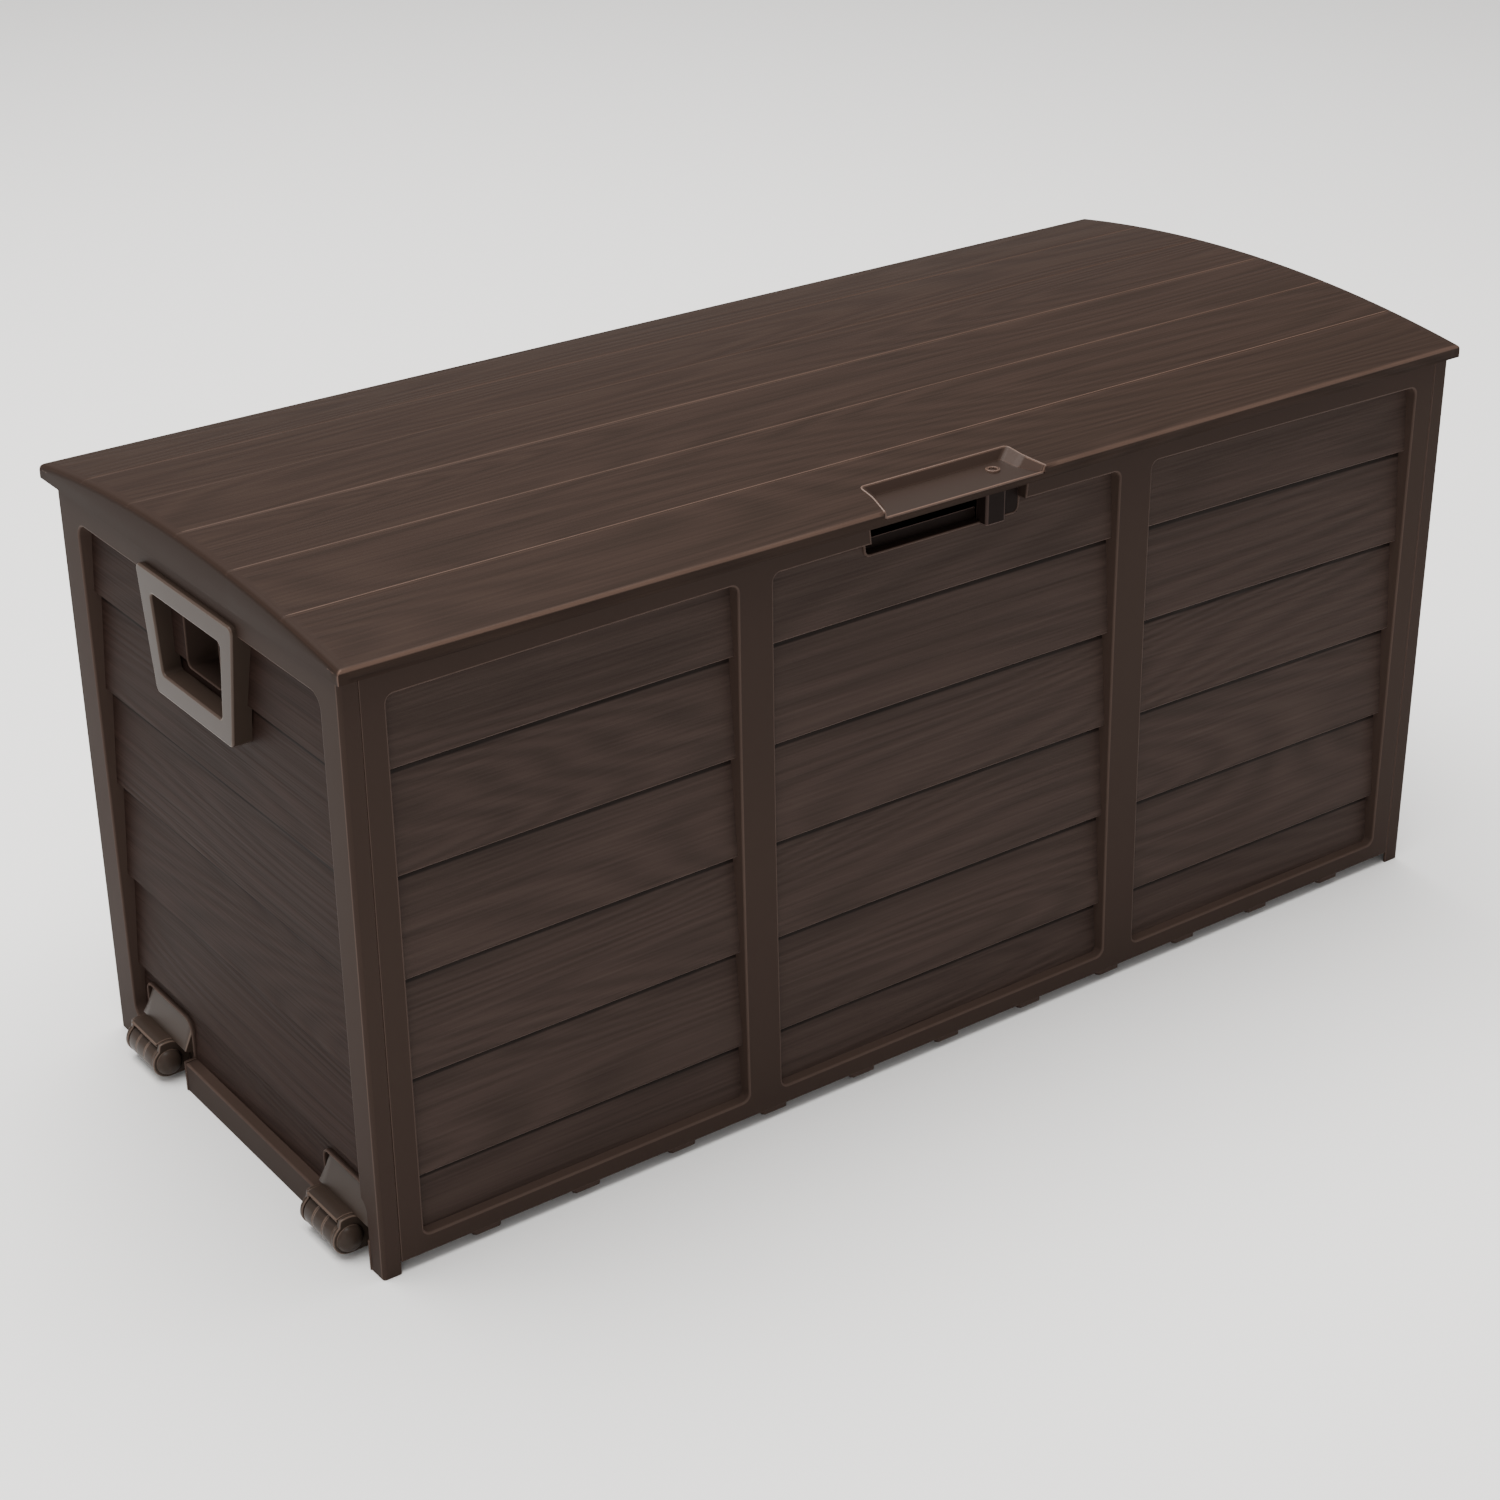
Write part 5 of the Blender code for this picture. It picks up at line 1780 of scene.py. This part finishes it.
@dataclass
class Lid:
    """The arched lid: planked deck, lock tray and hinge knuckles."""

    half_length: float = 0.5600
    half_depth: float = 0.2444
    pitch: float = 0.0820
    rim_top: float = 0.5168
    rim_bottom: float = 0.5053
    rise: float = 0.0197
    wall: float = 0.0030
    edge_drop: float = 0.0032
    tray_x: float = -0.0040
    tray_floor: float = 0.5110
    tray_fall: float = 0.0030
    tray_depth: float = 0.0370
    knuckle_half: float = 0.0080
    notch_half: float = 0.0260

    def build(self) -> None:
        """Build and dress the lid."""
        deck = LID_DECK.grow("lid_deck", half_length=self.half_length, half_depth=self.half_depth,
                             rim_top=self.rim_top, rim_bottom=self.rim_bottom, rise=self.rise)
        tools = [self._tray_tool()] + [self._notch_tool(centre) for centre in BOX.hinges]
        deck = carve(self._walled(deck), merged(tools, "lid_tools"))
        number_boards(deck, 1, 0.0, self.pitch)
        publish("lid_deck", deck, LID_FINISH, Body.LID, ["lid"])
        publish("lid_tray", self._tray(), TRAY_FINISH, Body.LID)
        publish("lid_rim_bead", self._bead(), TRAY_FINISH, Body.LID)
        knuckles = merged([self._knuckle(centre) for centre in BOX.hinges], "knuckles")
        publish("lid_knuckles", knuckles, TRAY_FINISH, Body.LID)

    def _walled(self, skin: bpy.types.Mesh) -> bpy.types.Mesh:
        """Line the outer skin with an inner one, a wall's thickness in.

        Args:
            skin: The open outer skin.

        Returns:
            A closed mesh.
        """
        work = bmesh.new()
        work.from_mesh(skin)
        bmesh.ops.remove_doubles(work, verts=work.verts, dist=1e-6)
        seam = work.verts.layers.float.get("seam")
        # The painted highlight along the front and back edges ends at this line; the skirt's lower edge and the inner
        # skin get none.
        line = self.rim_top - self.edge_drop
        cut = bmesh.ops.bisect_plane(work, geom=work.verts[:] + work.edges[:] + work.faces[:],
                                     plane_co=(0, 0, line), plane_no=(0, 0, 1))
        for part in cut["geom_cut"]:
            if isinstance(part, bmesh.types.BMVert):
                part[seam] = 0.0
        for vertex in work.verts:
            if vertex.co.z < self.rim_bottom + 1e-5:
                vertex[seam] = 0.0
        shrink_x = 1 - self.wall / self.half_length
        shrink_y = 1 - self.wall / self.half_depth
        twin = {}
        rim = [e for e in work.edges if len(e.link_faces) == 1]
        for vertex in list(work.verts):
            x, y, z = vertex.co
            at_rim = z < self.rim_bottom + 1e-5
            inner = work.verts.new((x * shrink_x, y * shrink_y, z if at_rim else z - self.wall))
            inner[seam] = 0.0
            twin[vertex] = inner
        for face in list(work.faces):
            work.faces.new([twin[v] for v in reversed(face.verts)])
        for edge in rim:
            a, b = edge.verts
            work.faces.new((a, b, twin[b], twin[a]))
        return to_mesh(work, skin.name)

    def height(self, y: float) -> float:
        """The deck's height at a depth."""
        return self.rim_top + self.rise * (1 - (y / self.half_depth) ** 2)

    def _tray_outline(self) -> list[Flat]:
        """The tray's outline on the deck, anticlockwise, open past the front edge."""
        x = self.tray_x
        front = -self.half_depth - 0.010
        corners = [(x - 0.0810, front), (x + 0.0810, front), (x + 0.0810, -0.2440), (x + 0.0752, -0.2225),
                   (x + 0.0738, -0.2048), (x - 0.0738, -0.2048), (x - 0.0752, -0.2225), (x - 0.0810, -0.2440)]
        return rounded_outline(corners, [0.001, 0.001, 0.004, 0.006, 0.003, 0.003, 0.006, 0.004], 5)

    def _tray_tool(self) -> bpy.types.Mesh:
        """The block that clears the deck and the front skirt for the tray."""
        return slab(self._tray_outline(), self.tray_floor - 0.0005, 0.56, plan, "tray_tool")

    def _notch_tool(self, centre: float) -> bpy.types.Mesh:
        """The block that clears the back skirt at one hinge."""
        corners = rectangle((centre - self.notch_half, self.half_depth - self.wall - 0.0006),
                            (centre + self.notch_half, self.half_depth + 0.01))
        return slab(corners, self.rim_bottom - 0.01, BOX.hinge_z + BOX.knuckle + 0.0008,
                    plan, "notch_tool")

    def _tray(self) -> bpy.types.Mesh:
        """The tray: a raised lip on the deck, sloping walls and a floor that falls to the front."""
        x = self.tray_x
        front = -self.half_depth
        top = [(x + 0.0806, front), (x + 0.0803, -0.2430), (x + 0.0750, -0.2225), (x + 0.0738, -0.2048),
               (x - 0.0738, -0.2048), (x - 0.0750, -0.2225), (x - 0.0803, -0.2430), (x - 0.0806, front)]
        foot = [(x + 0.0790, front), (x + 0.0780, -0.2428), (x + 0.0668, -0.2240), (x + 0.0655, -0.2078),
                (x - 0.0655, -0.2078), (x - 0.0668, -0.2240), (x - 0.0780, -0.2428), (x - 0.0790, front)]
        top, foot = self._dense(self._eased(top)), self._dense(self._eased(foot))

        def floor_z(y: float) -> float:
            """The floor's height: level at the back, falling to the front."""
            return self.tray_floor + self.tray_fall * max(0.0, min(1.0, (y - front) / self.tray_depth))

        def wall_row(ring: Sequence[Flat], blend: float, lift: float) -> list[Point]:
            """One row of the skin, from the deck (blend 0) down to the floor (blend 1)."""
            row = []
            for here, low in zip(ring, foot):
                spot = Vector(here).lerp(Vector(low), blend)
                high = max(self.height(spot.y), self.tray_floor)
                row.append((spot.x, max(spot.y, front), high + (floor_z(low[1]) - high) * blend + lift))
            return row

        work = bmesh.new()
        seam = work.verts.layers.float.new("seam")
        # Painted highlight strength for each row of the tray, strongest along its lip.
        rows, lights = [], (0.6, 0.6, 0.6, 0.35, 0.25, 0.25, 0.45, 0.1)
        for out, lift in ((0.0022, -0.0012), (0.0014, 0.0003), (0.0006, 0.0006)):
            rows.append(wall_row(grown(top, out, closed=False), 0.0, lift))
        for blend, lift in ((0.0, 0.0003), (0.08, 0.0), (0.86, 0.0), (0.95, -0.0002), (1.0, -0.0002)):
            rows.append(wall_row(top, blend, lift))
        for inset in (0.0004, 0.0012):
            ring = grown(foot, -inset, closed=False)
            rows.append([(u, max(v, front), floor_z(max(v, front)) - 0.0002) for u, v in ring])
        rows = [[work.verts.new(point) for point in row] for row in rows]
        for row, light in zip(rows, lights):
            for vertex in row:
                vertex[seam] = light
        for first, second in zip(rows, rows[1:]):
            bridge(work, first, second, closed=False)
        self._strips(work, rows[-1])
        mesh = to_mesh(work, "lid_tray")
        self._face_up(mesh)
        mesh = thicken(mesh, 0.0020)
        tool = slab(arc((BOX.lock_x, BOX.lock_y), BOX.lock_hole, 0, 352.5, 47), 0.49, 0.53,
                    plan, "bore")
        mesh = carve(mesh, tool)
        return merged([mesh, self._boss(floor_z(BOX.lock_y)), self._front_lip(x)], "lid_tray")

    @staticmethod
    def _strips(work: bmesh.types.BMesh, ring: Sequence[bmesh.types.BMVert]) -> None:
        """Floor a mirrored ring with strips that run from side to side.

        Args:
            work: The bmesh to add the strips to.
            ring: The ring, open at the front, its right half mirroring its left.
        """
        far = max(vertex.co.y for vertex in ring)
        k = 0
        while ring[k + 1].co.y < far - 1e-6:
            work.faces.new((ring[k], ring[k + 1], ring[-2 - k], ring[-1 - k]))
            k += 1
        work.faces.new(ring[k:len(ring) - k])

    @staticmethod
    def _face_up(mesh: bpy.types.Mesh) -> None:
        """Turn an open sheet so that it faces up."""
        total = sum(p.normal.z * p.area for p in mesh.polygons)
        if total < 0:
            mesh.flip_normals()

    @staticmethod
    def _eased(points: Sequence[Flat]) -> list[Flat]:
        """An open path with its corners cut into short curves."""
        result = [points[0]]
        for before, here, after in zip(points, points[1:], points[2:]):
            a, b, c = Vector(before), Vector(here), Vector(after)
            reach = min(0.004, (a - b).length * 0.4, (c - b).length * 0.4)
            first, last = b + (a - b).normalized() * reach, b + (c - b).normalized() * reach
            for k in range(6):
                t = k / 5
                result.append(tuple(first * (1 - t) ** 2 + b * 2 * t * (1 - t) + last * t ** 2))
        result.append(points[-1])
        return result

    @staticmethod
    def _dense(points: Sequence[Flat]) -> list[Flat]:
        """The path with its middle stretch split, so that it follows the arch."""
        result = []
        longest = max(range(len(points) - 1), key=lambda k: (Vector(points[k]) - Vector(points[k + 1])).length)
        for k, point in enumerate(points):
            result.append(point)
            if k == longest:
                here, there = Vector(point), Vector(points[k + 1])
                result += [tuple(here.lerp(there, n / 8)) for n in range(1, 8)]
        return result

    def _boss(self, floor: float) -> bpy.types.Mesh:
        """The ring around the lock hole."""
        profile = [(0.0035, -0.0010), (0.0060, -0.0010), (0.0060, 0.0006), (0.0057, 0.0010), (0.0052, 0.0012),
                   (0.0041, 0.0012), (0.0037, 0.0010), (0.0035, 0.0006)]
        rings = [[(BOX.lock_x + u, BOX.lock_y + v, floor + h) for u, v in arc((0, 0), r, 0, 352.5, 47)]
                 for r, h in profile]
        return loft(rings, "boss", closed_loft=True)

    def _front_lip(self, x: float) -> bpy.types.Mesh:
        """The low front wall under the tray's open side."""
        front = -self.half_depth
        section = [(front + 0.0002, self.tray_floor - 0.0030), (front, self.tray_floor + 0.0002),
                   (front + 0.0004, self.tray_floor + 0.0008), (front + 0.0012, self.tray_floor + 0.0010),
                   (front + 0.0020, self.tray_floor + 0.0006), (front + 0.0024, self.tray_floor - 0.0030)]
        rings = [[(u, y, z) for y, z in section] for u in (x - 0.0790, x + 0.0790)]
        return loft(rings, "front_lip")

    def _bead(self) -> bpy.types.Mesh:
        """The rounded bead along the rim's lower edge, open at the hinges."""
        radius = 0.0010
        inset = radius + 0.0001
        x, y = self.half_length - inset, self.half_depth - inset
        z = self.rim_bottom + radius * 0.8
        corner = [(-x, y), (-x, -y), (x, -y), (x, y)]
        ends = [(BOX.hinges[0] - self.notch_half, y), (BOX.hinges[-1] + self.notch_half, y)]
        runs = [[ends[0], corner[0], corner[1], corner[2], corner[3], ends[1]]]
        for first, second in zip(BOX.hinges, BOX.hinges[1:]):
            runs.append([(first + self.notch_half, y), (second - self.notch_half, y)])
        meshes = []
        for run in runs:
            path = self._eased(run) if len(run) > 2 else list(run)
            profile = arc((0.0, 0.0), radius, 0, 330, 11)
            meshes.append(channel(path, profile, lambda u, v, d: (u, v, z + d), "bead"))
        return merged(meshes, "lid_rim_bead")

    def _knuckle(self, centre: float) -> bpy.types.Mesh:
        """One hinge's middle knuckle, hung from the deck."""
        web = 0.0036
        angle = math.degrees(math.acos(web / BOX.knuckle))
        top = self.height(BOX.hinge_y) - self.wall / 2
        outline = [(BOX.hinge_y + web, top), (BOX.hinge_y - web, top)]
        outline += arc((BOX.hinge_y, BOX.hinge_z), BOX.knuckle, 180 - angle, 360 + angle, 28)
        return hinge_leaf(outline, centre - self.knuckle_half, centre + self.knuckle_half, "knuckle")


@dataclass
class HingePins:
    """The four headed pins along the back."""

    radius: float = 0.0024
    head: float = 0.0040

    def build(self) -> None:
        """Build and dress the pins."""
        for number in range(1, 5):
            node = f"hinge_pin_{number}"
            low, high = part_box(node)
            y, z = (low.y + high.y) / 2, (low.z + high.z) / 2
            start, stop = low.x - BOX.centre.x, high.x - BOX.centre.x
            profile = [(0.0010, start), (self.head - 0.0006, start + 0.0001), (self.head, start + 0.0007),
                       (self.head, start + 0.0017), (self.head - 0.0003, start + 0.0020),
                       (self.radius, start + 0.0020), (self.radius, stop - 0.0004), (self.radius - 0.0004, stop)]
            mesh = turned(profile, (0.0, 0.0), 32, node)
            for vertex in mesh.vertices:
                a, along, b = vertex.co
                vertex.co = (along, y + a, z + b)
            mesh.flip_normals()
            publish(node, mesh, PIN_FINISH, Body.BOX, [node])


@dataclass
class Floor:
    """The floor tray with its tongues and runners."""

    tongues: int = 11
    tongue_pitch: float = 0.0925
    tongue_length: float = 0.0255
    reach: float = 0.0010

    def build(self) -> None:
        """Build and dress the floor."""
        low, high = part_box("floor_panel")
        foot, top = 0.0065, high.z
        half = 0.5520
        plate = slab(rounded_outline(rectangle((-half, -0.2250), (half, 0.2120)), 0.002, 3), foot, top,
                     plan, "plate", 0.0008)
        for unit in ROLLERS:
            tool = slab(rectangle((-0.60, unit.pocket_near - 0.001), (-0.536, unit.pocket_far + 0.001)), -0.01, 0.02,
                        plan, "room")
            plate = carve(plate, tool)
        depth = 0.030
        rows = []
        for y in (BOX.front_y + self.reach + depth / 2, BOX.back_y - self.reach - depth / 2):
            rows.append(BLOCK_ROW.grow("tongues", blocks=self.tongues, pitch=self.tongue_pitch,
                                       block_length=self.tongue_length, block_depth=depth,
                                       block_height=top - foot - 0.0004, centre_y=y, centre_z=(top + foot) / 2,
                                       corner=0.002))
        runners = BLOCK_ROW.grow("runners", blocks=3, pitch=0.36, block_length=0.030, block_depth=0.380,
                                 block_height=0.0085, centre_z=0.00425, corner=0.004)
        publish("floor_plate", plate, FRAME_FINISH, Body.BOX, ["floor_panel"])
        publish("floor_tongues", merged(rows, "tongues"), FRAME_FINISH, Body.BOX)
        publish("floor_runners", runners, FRAME_FINISH, Body.BOX)


ROLLERS = (RollerUnit("front", Body.FRONT_ROLLER), RollerUnit("rear", Body.REAR_ROLLER))


def main() -> None:
    """Build the studio and every sub-assembly of the box, in order."""
    logging.basicConfig(level=logging.INFO, format="%(name)s: %(message)s")
    Studio().build(BOX.centre)
    Floor().build()
    FrontPanel("front", BOX.front_y, 1, BOX.bow).build()
    BackPanel("back", BOX.back_y, -1, 0.0).build()
    EndPanel(Side.LOW).build(ROLLERS)
    EndPanel(Side.HIGH).build()
    Handle(Side.LOW).build()
    Handle(Side.HIGH).build()
    for unit in ROLLERS:
        unit.build()
    Lid().build()
    HingePins().build()


if __name__ == "__main__":
    main()
